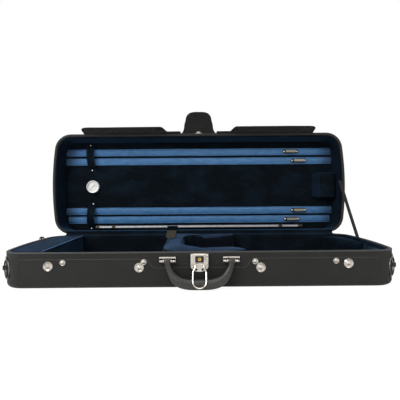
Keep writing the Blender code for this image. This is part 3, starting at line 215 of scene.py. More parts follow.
class Surface(Tree):
    """A material round one Principled shader."""

    def __init__(self, name: str) -> None:
        """Start the material."""
        self.material = bpy.data.materials.new(name)
        self.material.use_nodes = True
        super().__init__(self.material.node_tree)
        self.shader = self.tree.nodes["Principled BSDF"]
        self.place = self.add("ShaderNodeTexCoord", "Object")

    def set(self, values: dict[str, object]) -> None:
        """Set or link inputs of the shader."""
        for name, value in values.items():
            self.plug(self.shader.inputs[name], value)

    def axes(self) -> tuple[Value, Value, Value]:
        """The object coordinates as three values."""
        split = self.tree.nodes.new("ShaderNodeSeparateXYZ")
        self.tree.links.new(self.place.socket, split.inputs[0])
        return tuple(Value(self, socket) for socket in split.outputs)

    def facing_up(self) -> Value:
        """How far the surface faces up, from -1 to 1."""
        normal = self.add("ShaderNodeNewGeometry", "Normal")
        return self.add("ShaderNodeSeparateXYZ", 2, inputs={0: normal})

    def clouds(self, size: float, detail: float = 2.0, stretch: Triple = (1, 1, 1)) -> Value:
        """Soft noise whose blobs are about one size across, in metres."""
        where = self.add("ShaderNodeMapping", inputs={"Vector": self.place, "Scale": stretch})
        inputs = {"Vector": where, "Scale": 1 / size, "Detail": detail}
        return self.add("ShaderNodeTexNoise", "Fac", inputs=inputs)

    def cells(self, size: float) -> Value:
        """Distance to the nearest of scattered points, as in a hide's grain."""
        return self.add("ShaderNodeTexVoronoi", "Distance", inputs={"Vector": self.place, "Scale": 1 / size})

    def blend(self, first: Value | Colour, second: Value | Colour, share: Value) -> Value:
        """Mix two values or screen colours."""
        pair = [shade if isinstance(shade, Value) else linear(*shade) for shade in (first, second)]
        return self.add("ShaderNodeMix", 2, {"data_type": "RGBA"}, {0: share, 6: pair[0], 7: pair[1]})

    def relief(self, height: Value, distance: float, strength: float = 1.0) -> None:
        """Raise the surface by a height pattern."""
        inputs = {"Height": height, "Distance": distance, "Strength": strength}
        self.set({"Normal": self.add("ShaderNodeBump", inputs=inputs)})


@dataclass(frozen=True)
class Recipe:
    """A finish, ready to be made into a material."""

    name: str

    def make(self) -> Finish:
        """Build the material."""
        surface = Surface(self.name)
        self.dress(surface)
        return surface.material

    def dress(self, surface: Surface) -> None:
        """Set the nodes."""
        raise NotImplementedError


@dataclass(frozen=True)
class WovenCloth(Recipe):
    """Plain-woven synthetic cloth: fine crossing threads, rubbed a little paler in places."""

    dark: Colour
    pale: Colour
    pitch: float = 0.0009
    roughness: float = 0.8

    def dress(self, surface: Surface) -> None:
        """Set the nodes."""
        waves = [(axis * (2 * pi / self.pitch)).sine() for axis in surface.axes()]
        threads = waves[0] * waves[1] + waves[1] * waves[2] + waves[0] * waves[2]
        wear = surface.clouds(0.03, 4.0)
        slubs = surface.clouds(0.004, 2.0, (1, 1, 6))
        share = threads.eased(-0.8, 1.2) * 0.45 + wear.eased(0.35, 0.75) * 0.3
        share = share + slubs.eased(0.4, 0.7) * 0.2
        surface.set({"Base Color": surface.blend(self.dark, self.pale, share)})
        surface.set({"Roughness": wear * 0.15 + (self.roughness - 0.08), "Sheen Weight": 0.12})
        surface.set({"Sheen Roughness": 0.4, "Specular IOR Level": 0.3})
        surface.relief(threads + slubs * 0.6, 0.00018)


@dataclass(frozen=True)
class Velvet(Recipe):
    """Cut pile with a nap that lies this way and that; given a wall shade colour, faces that do not look up
    take painted shade.
    """

    deep: Colour
    brushed: Colour
    sheen: Colour
    weight: float = 0.5
    heather: float = 0.15
    # Colour of painted shade on faces that look sideways or down.
    wall_shade: Colour | None = None

    def dress(self, surface: Surface) -> None:
        """Set the nodes."""
        nap = surface.clouds(0.055, 5.0, (1, 1, 1.6))
        marks = surface.clouds(0.016, 3.0, (1, 1, 2.5))
        pile = surface.clouds(0.0009, 2.0)
        share = nap.eased(0.4, 0.72) * 0.6 + marks.eased(0.5, 0.75) * 0.3
        share = share + (pile - 0.5) * (self.heather * 4)
        share = share.maths("MAXIMUM", 0.0).maths("MINIMUM", 1.0)
        cloth = surface.blend(self.deep, self.brushed, share)
        if self.wall_shade:
            # Painted shade: faces that turn away from straight up are blended towards the wall shade colour.
            cloth = surface.blend(self.wall_shade, cloth, surface.facing_up().eased(0.3, 0.7))
        surface.set({"Base Color": cloth})
        surface.set({"Roughness": 0.95, "Specular IOR Level": 0.1, "Sheen Weight": self.weight})
        surface.set({"Sheen Roughness": 0.35, "Sheen Tint": linear(*self.sheen)})
        surface.relief(pile * 0.7 + marks, 0.0006, 0.6)


@dataclass(frozen=True)
class Satin(Recipe):
    """Ribbed satin ribbon, the ribs across its length, with painted shade darkening both its ends."""

    shade: Colour
    light: Colour
    rib: float = 0.0010
    # Colour of the painted shade towards the band's two ends.
    ends: Colour = (14, 56, 92)
    shade_from: float = 0.340
    shade_to: float = 0.392

    def dress(self, surface: Surface) -> None:
        """Set the nodes."""
        along = surface.axes()[0]
        ribs = (along * (2 * pi / self.rib)).sine()
        drift = surface.clouds(0.02, 3.0, (1, 4, 4))
        share = ribs.eased(-1.0, 1.0) * 0.25 + drift.eased(0.3, 0.7) * 0.6
        cloth = surface.blend(self.shade, self.light, share)
        # Painted shade: past shade_from along x the ribbon darkens towards the ends colour, its edge wobbled
        # by noise.
        shade_edge_noise = surface.clouds(0.0035, 2.0, (0.05, 1, 1))
        ends = (along.maths("ABSOLUTE") + shade_edge_noise * 0.02).eased(self.shade_from, self.shade_to)
        surface.set({"Base Color": surface.blend(cloth, self.ends, ends)})
        surface.set({"Roughness": drift * 0.2 + 0.38, "Sheen Weight": 0.2, "Specular IOR Level": 0.45})
        surface.relief(ribs + drift * 2.0, 0.00012, 0.7)


@dataclass(frozen=True)
class Leather(Recipe):
    """Grained leather, paler where it is handled."""

    dark: Colour
    worn: Colour
    grain: float = 0.0012
    roughness: float = 0.5

    def dress(self, surface: Surface) -> None:
        """Set the nodes."""
        pebbles = surface.cells(self.grain)
        creases = surface.clouds(0.006, 5.0)
        share = creases.eased(0.45, 0.75) * 0.6 + pebbles * 0.25
        surface.set({"Base Color": surface.blend(self.dark, self.worn, share)})
        surface.set({"Roughness": creases * 0.25 + (self.roughness - 0.12), "Coat Weight": 0.08})
        surface.relief(pebbles + creases * 0.6, 0.00022, 0.8)


@dataclass(frozen=True)
class Metal(Recipe):
    """Plated, polished or lacquered metal with fine scratches and cloudy handling marks; with an under
    colour, painted shade on faces that look down.
    """

    bright: Colour
    dull: Colour
    metallic: float = 1.0
    roughness: float = 0.22
    brushed: Triple = (1, 1, 12)
    # Colour of painted shade on faces that look down.
    under: Colour | None = None

    def dress(self, surface: Surface) -> None:
        """Set the nodes."""
        film = surface.clouds(0.009, 4.0)
        scratches = surface.clouds(0.0016, 3.0, self.brushed)
        share = film.eased(0.45, 0.8) * 0.7 + scratches.eased(0.55, 0.8) * 0.25
        plate = surface.blend(self.bright, self.dull, share)
        # Painted shade: faces that look down are blended towards the under colour.
        if self.under:
            plate = surface.blend(self.under, plate, surface.facing_up().eased(-0.55, 0.25))
        surface.set({"Base Color": plate, "Metallic": self.metallic})
        surface.set({"Roughness": film * 0.14 + scratches * 0.1 + (self.roughness - 0.08)})
        surface.relief(scratches, 0.00003, 0.6)


@dataclass(frozen=True)
class Plywood(Recipe):
    """Pale raw plywood with long grain."""

    name: str = "birch_plywood"
    light: Colour = (196, 160, 118)
    dark: Colour = (150, 112, 74)

    def dress(self, surface: Surface) -> None:
        """Set the nodes."""
        grain = surface.clouds(0.004, 5.0, (0.06, 1, 1))
        wood = surface.blend(self.light, self.dark, grain.eased(0.4, 0.7))
        surface.set({"Base Color": wood})
        surface.set({"Roughness": 0.7})
        surface.relief(grain, 0.0001)


@dataclass(frozen=True)
class DialPaint(Recipe):
    """Off-white enamel, a little aged."""

    name: str = "dial_enamel"
    fresh: Colour = (238, 238, 236)
    aged: Colour = (216, 214, 206)

    def dress(self, surface: Surface) -> None:
        """Set the nodes."""
        age = surface.clouds(0.008, 3.0)
        paint = surface.blend(self.fresh, self.aged, age.eased(0.5, 0.8))
        surface.set({"Base Color": paint})
        surface.set({"Roughness": age * 0.1 + 0.3})


@dataclass(frozen=True)
class ClearGlass(Recipe):
    """Thin clear glass."""

    name: str = "watch_glass"

    def dress(self, surface: Surface) -> None:
        """Set the nodes."""
        smear = surface.clouds(0.01, 2.0)
        surface.set({"Base Color": (1, 1, 1, 1), "Roughness": smear * 0.04 + 0.01, "IOR": 1.45})
        surface.set({"Transmission Weight": 1.0, "Alpha": 0.25})


class Wardrobe:
    """Every finish of the case, made once."""

    def __init__(self) -> None:
        """Make the materials."""
        self.cover = WovenCloth("cover_weave", (25, 25, 23), (44, 44, 41)).make()
        self.flap = WovenCloth("flap_weave", (4, 5, 4), (12, 13, 12)).make()
        self.piping = Leather("edge_binding", (34, 34, 33), (56, 56, 55), 0.0008, 0.55).make()
        self.navy = Velvet("navy_velvet_pile", (3, 9, 15), (13, 26, 37), (70, 118, 165), 0.5).make()
        # The blue velvet's last colour is painted shade for faces that do not look up, such as the cushion's
        # sides and cavity walls.
        self.blue = Velvet("blue_velvet_pile", (25, 38, 57), (50, 66, 90), (100, 140, 185), 0.4, 0.25,
                           (5, 10, 17)).make()
        self.midnight = Velvet("midnight_velvet_pile", (10, 20, 32), (24, 39, 56), (90, 130, 175), 0.35,
                               0.2).make()
        self.trim = Velvet("trim_velvet_pile", (62, 88, 122), (88, 120, 160), (110, 150, 195), 0.4,
                           0.2).make()
        self.satin = Satin("blue_ribbon", (38, 88, 134), (60, 118, 168)).make()
        # The nickel, aged steel and button lacquer below take an under colour: painted shade on their
        # downward faces.
        self.nickel = Metal("nickel_plate", (224, 218, 208), (150, 138, 124), under=(62, 56, 50)).make()
        self.rim = Leather("lid_binding_vinyl", (9, 9, 8), (22, 21, 19), 0.0008, 0.75).make()
        self.chrome = Metal("bright_chrome", (244, 242, 240), (226, 222, 218), 0.4, 0.3).make()
        self.steel = Metal("aged_steel", (110, 106, 98), (70, 66, 60), under=(30, 28, 26)).make()
        self.bar = Metal("button_lacquer", (150, 148, 138), (112, 110, 102), 0.5, 0.35,
                         under=(30, 30, 28)).make()
        self.brass = Metal("turned_brass", (206, 170, 104), (150, 116, 66), roughness=0.28).make()
        self.black = Metal("black_lacquer", (34, 34, 34), (52, 50, 48), 0.6, 0.38).make()
        self.bronze = Metal("dark_bronze", (66, 58, 50), (38, 34, 30), 0.9, 0.36).make()
        self.grip = Leather("grip_leather", (29, 28, 27), (53, 51, 49), 0.0010, 0.38).make()
        self.leather = Leather("strap_leather", (20, 20, 20), (46, 45, 43)).make()
        # The aluminium's last colour is painted shade on its downward faces.
        self.tube = Metal("satin_aluminium", (168, 168, 171), (128, 128, 131), 0.85, 0.42, (12, 1, 1),
                          (26, 28, 32)).make()
        self.enamel = DialPaint().make()
        self.ink = Metal("dial_ink", (150, 154, 160), (120, 124, 130), 0.0, 0.5).make()
        self.glass = ClearGlass().make()
        self.plywood = Plywood().make()
        self.thread = WovenCloth("sewing_thread", (26, 26, 26), (60, 60, 58), 0.0004, 0.6).make()
        self.blue_thread = WovenCloth("blue_thread", (30, 46, 66), (66, 92, 122), 0.0004, 0.6).make()
        self.hook = WovenCloth("hook_tape", (64, 60, 50), (92, 88, 74), 0.0012, 0.85).make()


def refill(piece: Piece, material: Finish) -> None:
    """Give a piece one material in every slot."""
    if not piece.data.materials:
        piece.data.materials.append(material)
    for number in range(len(piece.data.materials)):
        piece.data.materials[number] = material


def settle(piece: Piece, material: Finish, body: str, slot: Slot, *stands_for: str) -> Piece:
    """Finish a piece and let it ride on its body.

    Args:
        piece: The piece, in place at rest.
        material: Its material.
        body: The CAD body that it moves with.
        slot: The record's material slot; not used.
        stands_for: The CAD nodes that it replaces.

    Returns:
        The piece.
    """
    refill(piece, material)
    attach(piece, body)
    if stands_for:
        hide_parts(*stands_for)
    LOG.info("%s rides on %s with %d faces", piece.name, body, len(piece.data.polygons))
    return piece


def linked(data: bpy.types.ID) -> Piece:
    """Put a mesh, lamp or camera into the scene as an object of the same name, at the origin."""
    piece = bpy.data.objects.new(data.name, data)
    bpy.context.scene.collection.objects.link(piece)
    return piece


def solid(
    name: str, points: Iterable[Sequence[float]], faces: Iterable[Sequence[int]],
    matrix: Matrix | None = None, crease: float = 40.0,
) -> Piece:
    """Make an object from points and faces.

    Args:
        name: The piece's name.
        points: Its vertices.
        faces: Its faces, as numbers of vertices.
        matrix: A move applied to the mesh.
        crease: The angle past which an edge stays sharp, in degrees.

    Returns:
        The object, at the origin.
    """
    shape = bmesh.new()
    corners = [shape.verts.new(point) for point in points]
    for face in faces:
        shape.faces.new([corners[number] for number in face])
    bmesh.ops.remove_doubles(shape, verts=shape.verts, dist=1e-7)
    bmesh.ops.recalc_face_normals(shape, faces=shape.faces)
    mesh = bpy.data.meshes.new(name)
    shape.to_mesh(mesh)
    shape.free()
    if matrix is not None:
        mesh.transform(matrix)
    mesh.shade_smooth()
    mesh.set_sharp_from_angle(angle=radians(crease))
    return linked(mesh)


def baked(piece: Piece) -> Piece:
    """Apply a piece's modifiers and keep the result as its mesh."""
    bpy.context.view_layer.update()
    seen = piece.evaluated_get(bpy.context.evaluated_depsgraph_get())
    mesh = bpy.data.meshes.new_from_object(seen)
    piece.modifiers.clear()
    piece.data = mesh
    mesh.name = piece.name
    return piece


def bevelled(piece: Piece, width: float, angle: float) -> bpy.types.Modifier:
    """Round a piece's edges that are sharper than an angle in degrees."""
    edge = piece.modifiers.new("edge", "BEVEL")
    edge.width = width
    edge.segments = 2
    edge.limit_method = "ANGLE"
    edge.angle_limit = radians(angle)
    return edge


def rings_solid(
    name: str, rings: Sequence[Sequence[Sequence[float]]], matrix: Matrix | None = None, loop: bool = False,
    crease: float = 40.0,
) -> Piece:
    """Skin closed rings of points in order.

    Args:
        name: The piece's name.
        rings: Rings of the same number of points.
        matrix: A move applied to the mesh.
        loop: Whether the last ring joins the first; otherwise both are capped.
        crease: The angle past which an edge stays sharp, in degrees.

    Returns:
        The object.
    """
    count = len(rings[0])
    points = [point for ring in rings for point in ring]
    faces: list[Sequence[int]] = []
    for low in range(len(rings) if loop else len(rings) - 1):
        high = (low + 1) % len(rings)
        for i in range(count):
            j = (i + 1) % count
            faces.append((low * count + i, low * count + j, high * count + j, high * count + i))
    if not loop:
        faces.append(range(count))
        faces.append(range((len(rings) - 1) * count, len(rings) * count))
    return solid(name, points, faces, matrix, crease)


def arc(centre: Plan, radius: float, turns: Iterable[float]) -> list[Plan]:
    """Points of a circle, at some angles."""
    return [(centre[0] + radius * cos(turn), centre[1] + radius * sin(turn)) for turn in turns]


def circle(radius: float, sides: int) -> list[Plan]:
    """Corners of a regular polygon about the origin."""
    return arc((0.0, 0.0), radius, [2 * pi * side / sides for side in range(sides)])


def turned(name: str, profile: Sequence[Plan], sides: int, matrix: Matrix | None = None) -> Piece:
    """Spin a profile of (radius, height) round Z. Both ends are capped."""
    rings = [[(x, y, height) for x, y in circle(radius, sides)] for radius, height in profile]
    return rings_solid(name, rings, matrix)


def rounded_box(width: float, height: float, radius: float, steps: int = 3) -> list[Plan]:
    """Outline of a rectangle with round corners, about its centre."""
    half_w, half_h = width / 2 - radius, height / 2 - radius
    outline = []
    corners = ((half_w, half_h), (-half_w, half_h), (-half_w, -half_h), (half_w, -half_h))
    for number, centre in enumerate(corners):
        outline += arc(centre, radius, [pi / 2 * (number + step / steps) for step in range(steps + 1)])
    return outline


def followed(
    name: str, path: Line, section: Callable[[float], Sequence[Plan]], up: Vector,
    closed: bool = False, matrix: Matrix | None = None,
) -> Piece:
    """Carry a section along a path.

    Args:
        name: The piece's name.
        path: Points in order.
        section: The section for a share of the way along, as (sideways, up) points.
        up: The direction that the section's second number starts out towards.
        closed: Whether the path returns to its start.
        matrix: A move applied to the mesh.

    Returns:
        The object.
    """
    count = len(path)
    rings = []
    lift = up.normalized()
    for number, place in enumerate(path):
        ahead = path[(number + 1) % count] if closed or number + 1 < count else place
        behind = path[number - 1] if closed or number > 0 else place
        along = (ahead - behind).normalized()
        lift = (lift - along * lift.dot(along)).normalized()
        side = along.cross(lift)
        share = number / max(count - 1, 1)
        rings.append([place + side * a + lift * b for a, b in section(share)])
    return rings_solid(name, rings, matrix, loop=closed)


def corded(
    name: str, path: Line, size: tuple[float, float, float, int], up: Vector,
    closed: bool = False, matrix: Matrix | None = None,
) -> Piece:
    """Carry one rounded box along a path.

    Args:
        name: The piece's name.
        path: Points in order.
        size: The box's width, height, corner radius and corner steps.
        up: The direction that the box's height starts out towards.
        closed: Whether the path returns to its start.
        matrix: A move applied to the mesh.

    Returns:
        The object.
    """
    section = rounded_box(*size)
    return followed(name, path, lambda share: section, up, closed, matrix)


def length_of(path: Line) -> float:
    """Length of a path."""
    return sum((b - a).length for a, b in zip(path, path[1:]))


def mean(points: Line) -> Vector:
    """Middle of some points."""
    return sum(points, Vector()) / len(points)


def ease(share: float) -> float:
    """A share, held between 0 and 1, with a slow start and end."""
    held = min(max(share, 0.0), 1.0)
    return held * held * (3 - 2 * held)


def fall_away(over: float, radius: float) -> float:
    """How far a round corner has fallen away, a distance past its start."""
    return radius - sqrt(max(radius**2 - over**2, 0.0)) if over > 0 else 0.0


def smooth_path(points: Line, steps: int) -> list[Vector]:
    """Round off a path through its points with a Catmull-Rom curve."""
    made = []
    for number in range(len(points) - 1):
        before = points[max(number - 1, 0)]
        first, second = points[number], points[number + 1]
        after = points[min(number + 2, len(points) - 1)]
        for step in range(steps):
            t = step / steps
            bend = 2 * before - 5 * first + 4 * second - after
            twist = 3 * first - before - 3 * second + after
            made.append(0.5 * (2 * first + (second - before) * t + bend * t**2 + twist * t**3))
    return made + [points[-1]]


@dataclass(frozen=True)
class CasePlan:
    """The case seen from above: arched ends and round corners."""

    length: float = 0.800
    width: float = 0.273
    corner: float = 0.044
    arch: float = 0.012
    end_steps: int = 14
    corner_steps: int = 12
    side_steps: int = 40

    def end_circle(self) -> Plan:
        """An end's arc: the x of its centre, and its radius."""
        radius = ((self.width / 2) ** 2 + self.arch**2) / (2 * self.arch)
        return self.length / 2 - radius, radius

    def corner_centre(self) -> Plan:
        """Centre of the rear right corner's arc."""
        end_x, end_radius = self.end_circle()
        y = self.width / 2 - self.corner
        return end_x + sqrt((end_radius - self.corner) ** 2 - y**2), y

    def outline(self, inset: float, back: float = 0.0) -> list[Plan]:
        """Draw the plan in by a distance, anticlockwise.

        Args:
            inset: How far inside the outer face.
            back: How far the back half moves out again.

        Returns:
            The points.
        """
        end_x, end_radius = self.end_circle()
        corner_x, corner_y = self.corner_centre()
        meet = atan2(corner_y, corner_x - end_x)
        ends, corners = self.end_steps, self.corner_steps
        turns = [meet * step / ends for step in range(-ends, ends + 1)]
        right = arc((end_x, 0.0), end_radius - inset, turns)
        turns = [meet + (pi / 2 - meet) * step / corners for step in range(1, corners + 1)]
        corner = arc((corner_x, corner_y), self.corner - inset, turns)
        right = [(x, -y) for x, y in reversed(corner)] + right + corner
        top_x, top_y = right[-1]
        side = [(top_x - 2 * top_x * step / self.side_steps, top_y) for step in range(1, self.side_steps)]
        half = right + side
        whole = half + [(-x, -y) for x, y in half]
        return [(x, y + back if y > 0 else y) for x, y in whole]

    def wall(self, inset: float, height: float) -> list[Vector]:
        """The plan's points at one height."""
        return [Vector((x, y, height)) for x, y in self.outline(inset)]

    def swept(
        self, name: str, section: Sequence[Sequence[float]], matrix: Matrix | None = None, loop: bool = False
    ) -> Piece:
        """Carry a section of (inset, height[, back]) points round the plan."""
        rings = [[(x, y, point[1]) for x, y in self.outline(point[0], *point[2:])] for point in section]
        return rings_solid(name, rings, matrix, loop)


PLAN = CasePlan()


def edge_round(inset: float, radius: float, height: float, turn: int, steps: int = 8) -> list[Plan]:
    """Quarter round at the foot (turn -1) or top (turn +1) of a wall, from the flat to the wall."""
    angles = [pi / 2 * step / steps for step in range(steps + 1)]
    return [(inset - radius * sin(a), height - turn * radius * (1 - cos(a))) for a in angles]


def binding_section(height: float) -> list[Plan]:
    """Section of a rim's binding, about its middle height."""
    outline = rounded_box(BINDING_WIDE, BINDING_TALL, BINDING_ROUND, 4)
    return [(BINDING_MIDDLE - x, height + z) for x, z in outline]


class LidSpace:
    """Carries what is made with the lid shut to where it stands with the lid open."""

    hinge = Vector((0, 0.1391, 0.0718))
    turn = Matrix.Rotation(radians(-93), 4, "X")
    opened = Matrix.Translation(hinge) @ turn @ Matrix.Translation(-hinge)
    out = turn.to_3x3() @ Vector((0, 0, -1))

    @staticmethod
    def shut(x: float, v: float, depth: float) -> Vector:
        """A point of the shut lid: v from its back edge, depth from its rim to its panel."""
        return Vector((x, HALF_WIDTH - v, LID_RIM + depth))

    @classmethod
    def point(cls, x: float, v: float, depth: float) -> Vector:
        """The same point with the lid open."""
        return cls.opened @ cls.shut(x, v, depth)

    @classmethod
    def direction(cls, way: Vector) -> Vector:
        """A direction of the shut lid, with the lid open."""
        return cls.turn.to_3x3() @ way


@dataclass(frozen=True)
class Spot:
    """Where a fastener goes."""

    place: Vector
    facing: Vector
    size: float = 1.0
    turn: float = 0.0


def points_object(name: str, points: Line, chain: bool, closed: bool = False) -> Piece:
    """An object of loose points, or of points joined in a line."""
    mesh = bpy.data.meshes.new(name)
    edges = [(i, i + 1) for i in range(len(points) - 1)] if chain else []
    if chain and closed:
        edges.append((len(points) - 1, 0))
    mesh.from_pydata(points, edges, [])
    return linked(mesh)


def put_attribute(mesh: bpy.types.Mesh, name: str, kind: str, values: Sequence[float]) -> None:
    """Store numbers or directions on a mesh's points."""
    attribute = mesh.attributes.new(name, kind, "POINT")
    attribute.data.foreach_set("vector" if kind == "FLOAT_VECTOR" else "value", values)


class GeometryTree(Tree):
    """A geometry node tree with named inputs, which takes and gives a geometry."""

    def __init__(self, name: str, inputs: dict[str, str]) -> None:
        """Start the tree.

        Args:
            name: Its name.
            inputs: Its named inputs and their socket types.
        """
        super().__init__(bpy.data.node_groups.new(name, "GeometryNodeTree"))
        face = self.tree.interface
        face.new_socket("Geometry", in_out="INPUT", socket_type="NodeSocketGeometry")
        for label, kind in inputs.items():
            face.new_socket(label, in_out="INPUT", socket_type=kind)
        face.new_socket("Geometry", in_out="OUTPUT", socket_type="NodeSocketGeometry")
        self.source = self.tree.nodes.new("NodeGroupInput")
        self.sink = self.tree.nodes.new("NodeGroupOutput")

    def given(self, label: str) -> Value:
        """One of the tree's inputs."""
        return Value(self, self.source.outputs[label])

    def stored(self, name: str, kind: str) -> Value:
        """An attribute stored on the geometry."""
        return self.add("GeometryNodeInputNamedAttribute", 0, {"data_type": kind}, {"Name": name})

    def end(self, shape: Value) -> None:
        """Realize the instances, set the finish and give the result out."""
        real = self.add("GeometryNodeRealizeInstances", inputs={"Geometry": shape})
        smooth = self.add("GeometryNodeSetShadeSmooth", inputs={"Geometry": real})
        dress = {"Geometry": smooth, "Material": self.given("Finish")}
        done = self.add("GeometryNodeSetMaterial", inputs=dress)
        self.plug(self.sink.inputs[0], done)

    def run(self, piece: Piece, values: dict[str, object]) -> Piece:
        """Run the tree on a piece and keep the result as a plain mesh."""
        modifier = piece.modifiers.new("grow", "NODES")
        modifier.node_group = self.tree
        for item in self.tree.interface.items_tree:
            if item.in_out == "INPUT" and item.name in values:
                modifier[item.identifier] = values[item.name]
        return baked(piece)


def fastener_tree() -> GeometryTree:
    """A tree that sets one fastener on each point, facing as the point says."""
    kinds = {"Fastener": "NodeSocketObject", "Finish": "NodeSocketMaterial"}
    tree = GeometryTree("fasteners", kinds)
    shape = tree.add("GeometryNodeObjectInfo", "Geometry", inputs={"Object": tree.given("Fastener")})
    facing = tree.stored("facing", "FLOAT_VECTOR")
    turn = tree.add("FunctionNodeAlignRotationToVector", settings={"axis": "Z"}, inputs={"Vector": facing})
    size = tree.stored("size", "FLOAT")
    set_in = {"Points": tree.given("Geometry"), "Instance": shape, "Rotation": turn, "Scale": size}
    placed = tree.add("GeometryNodeInstanceOnPoints", inputs=set_in)
    spin = tree.add("ShaderNodeCombineXYZ", inputs={"Z": tree.stored("turn", "FLOAT")})
    turned_in = {"Instances": placed, "Rotation": spin, "Local Space": True}
    tree.end(tree.add("GeometryNodeRotateInstances", inputs=turned_in))
    return tree


def stitch_tree() -> GeometryTree:
    """A tree that sews stitches at an even pitch along a line."""
    kinds = {
        "Pitch": "NodeSocketFloat", "Length": "NodeSocketFloat", "Thread": "NodeSocketFloat",
        "Finish": "NodeSocketMaterial",
    }
    tree = GeometryTree("stitches", kinds)
    curve = tree.add("GeometryNodeMeshToCurve", inputs={"Mesh": tree.given("Geometry")})
    line = {"Curve": curve, "Length": tree.given("Pitch")}
    even = tree.add("GeometryNodeResampleCurve", settings={"mode": "LENGTH"}, inputs=line)
    along = tree.add("GeometryNodeInputTangent")
    facing = tree.stored("facing", "FLOAT_VECTOR")
    upright = tree.add("FunctionNodeAlignRotationToVector", settings={"axis": "Z"}, inputs={"Vector": facing})
    turn = tree.add("FunctionNodeAlignRotationToVector", 0, {"axis": "X", "pivot_axis": "Z"},
                    {"Rotation": upright, "Vector": along})
    bead = tree.add("GeometryNodeMeshIcoSphere", inputs={"Radius": 0.5, "Subdivisions": 1})
    thread = tree.given("Thread")
    size = {"X": tree.given("Length"), "Y": thread, "Z": thread * 0.8}
    scale = tree.add("ShaderNodeCombineXYZ", inputs=size)
    shaped = tree.add("GeometryNodeTransform", inputs={"Geometry": bead, "Scale": scale})
    set_in = {"Points": even, "Instance": shaped, "Rotation": turn}
    tree.end(tree.add("GeometryNodeInstanceOnPoints", inputs=set_in))
    return tree


class Haberdashery:
    """Sets fasteners and sews stitches with the two shared trees."""

    def __init__(self) -> None:
        """Build the trees and the fastener shapes."""
        self.fasteners = fastener_tree()
        self.stitches = stitch_tree()
        self.shapes = {
            "stud": turned("shape_stud", [
                (0.0001, 0.0), (0.0060, 0.0), (0.0060, 0.0007), (0.0056, 0.0012), (0.0050, 0.0012),
                (0.0044, 0.0008), (0.0038, 0.0009), (0.0034, 0.0022), (0.0026, 0.0029), (0.0012, 0.0033),
                (0.0001, 0.0034)], 20),
            "socket": turned("shape_socket", [
                (0.0001, 0.0), (0.0058, 0.0), (0.0060, 0.0008), (0.0054, 0.0014), (0.0044, 0.0013),
                (0.0038, 0.0008), (0.0034, 0.0016), (0.0028, 0.0018), (0.0023, 0.0012), (0.0020, 0.0004),
                (0.0001, 0.0003)], 20),
            "disc": turned("shape_disc", [
                (0.0001, 0.0), (0.0094, 0.0), (0.0095, 0.0008), (0.0089, 0.0014), (0.0082, 0.0013),
                (0.0077, 0.0009), (0.0070, 0.0009), (0.0066, 0.0013), (0.0060, 0.0013), (0.0056, 0.0010),
                (0.0038, 0.0012), (0.0034, 0.0017), (0.0018, 0.0021), (0.0001, 0.0022)], 28),
            "rivet": turned("shape_rivet", [
                (0.0001, 0.0), (0.0026, 0.0), (0.0026, 0.0004), (0.0022, 0.0011), (0.0013, 0.0015),
                (0.0001, 0.0016)], 14),
            "screw": self.screw(),
        }

    @staticmethod
    def screw() -> Piece:
        """A domed screw head with a straight slot."""
        profile = [(0.0001, 0.0), (0.0022, 0.0), (0.0022, 0.0003), (0.0018, 0.0008), (0.0010, 0.0011),
                   (0.0001, 0.0012)]
        head = turned("shape_screw", profile, 16)
        slot = rings_solid("slot", [
            [(x, y, z) for x, y in rounded_box(0.006, 0.0005, 0.0001, 1)] for z in (0.0006, 0.0020)
        ])
        cut = head.modifiers.new("slot", "BOOLEAN")
        cut.operation = "DIFFERENCE"
        cut.object = slot
        baked(head)
        bpy.data.objects.remove(slot, do_unlink=True)
        return head

    def fasten(
        self, name: str, kind: str, spots: Sequence[Spot], material: Finish, body: str,
        slot: Slot = Slot.NICKEL,
    ) -> Piece:
        """Set one kind of fastener at each spot.

        Args:
            name: The piece's name.
            kind: The fastener's shape.
            spots: Where they go.
            material: Their finish.
            body: The body that they ride on.
            slot: The record's material slot.

        Returns:
            The piece.
        """
        piece = points_object(name, [spot.place for spot in spots], chain=False)
        facing = [value for spot in spots for value in spot.facing.normalized()]
        put_attribute(piece.data, "facing", "FLOAT_VECTOR", facing)
        put_attribute(piece.data, "size", "FLOAT", [spot.size for spot in spots])
        put_attribute(piece.data, "turn", "FLOAT", [spot.turn for spot in spots])
        self.fasteners.run(piece, {"Fastener": self.shapes[kind], "Finish": material})
        return settle(piece, material, body, slot)

    def sew(
        self, name: str, path: Line, facing: Vector | Line,
        material: Finish, body: str, slot: Slot = Slot.COVER, pitch: float = 0.0036,
        thread: float = 0.0006, closed: bool = False,
    ) -> Piece:
        """Sew a row of stitches.

        Args:
            name: The piece's name.
            path: The row's line.
            facing: The direction out of the cloth, one or one for each point.
            material: The thread's finish.
            body: The body that they ride on.
            slot: The record's material slot.
            pitch: From stitch to stitch.
            thread: The thread's thickness.
            closed: Whether the row meets its start.

        Returns:
            The piece.
        """
        piece = points_object(name, path, chain=True, closed=closed)
        many = [facing] * len(path) if isinstance(facing, Vector) else list(facing)
        put_attribute(piece.data, "facing", "FLOAT_VECTOR", [value for way in many for value in way])
        values = {"Pitch": pitch, "Length": pitch * 0.72, "Thread": thread, "Finish": material}
        self.stitches.run(piece, values)
        return settle(piece, material, body, slot)

    def put_away(self) -> None:
        """Remove the loose fastener shapes."""
        for shape in self.shapes.values():
            bpy.data.objects.remove(shape, do_unlink=True)


def outward(points: Line) -> list[Vector]:
    """For each point of a closed plan line, the level direction out of it."""
    ways = []
    for number in range(len(points)):
        along = points[(number + 1) % len(points)] - points[number - 1]
        ways.append(Vector((along.y, -along.x, 0)).normalized())
    return ways


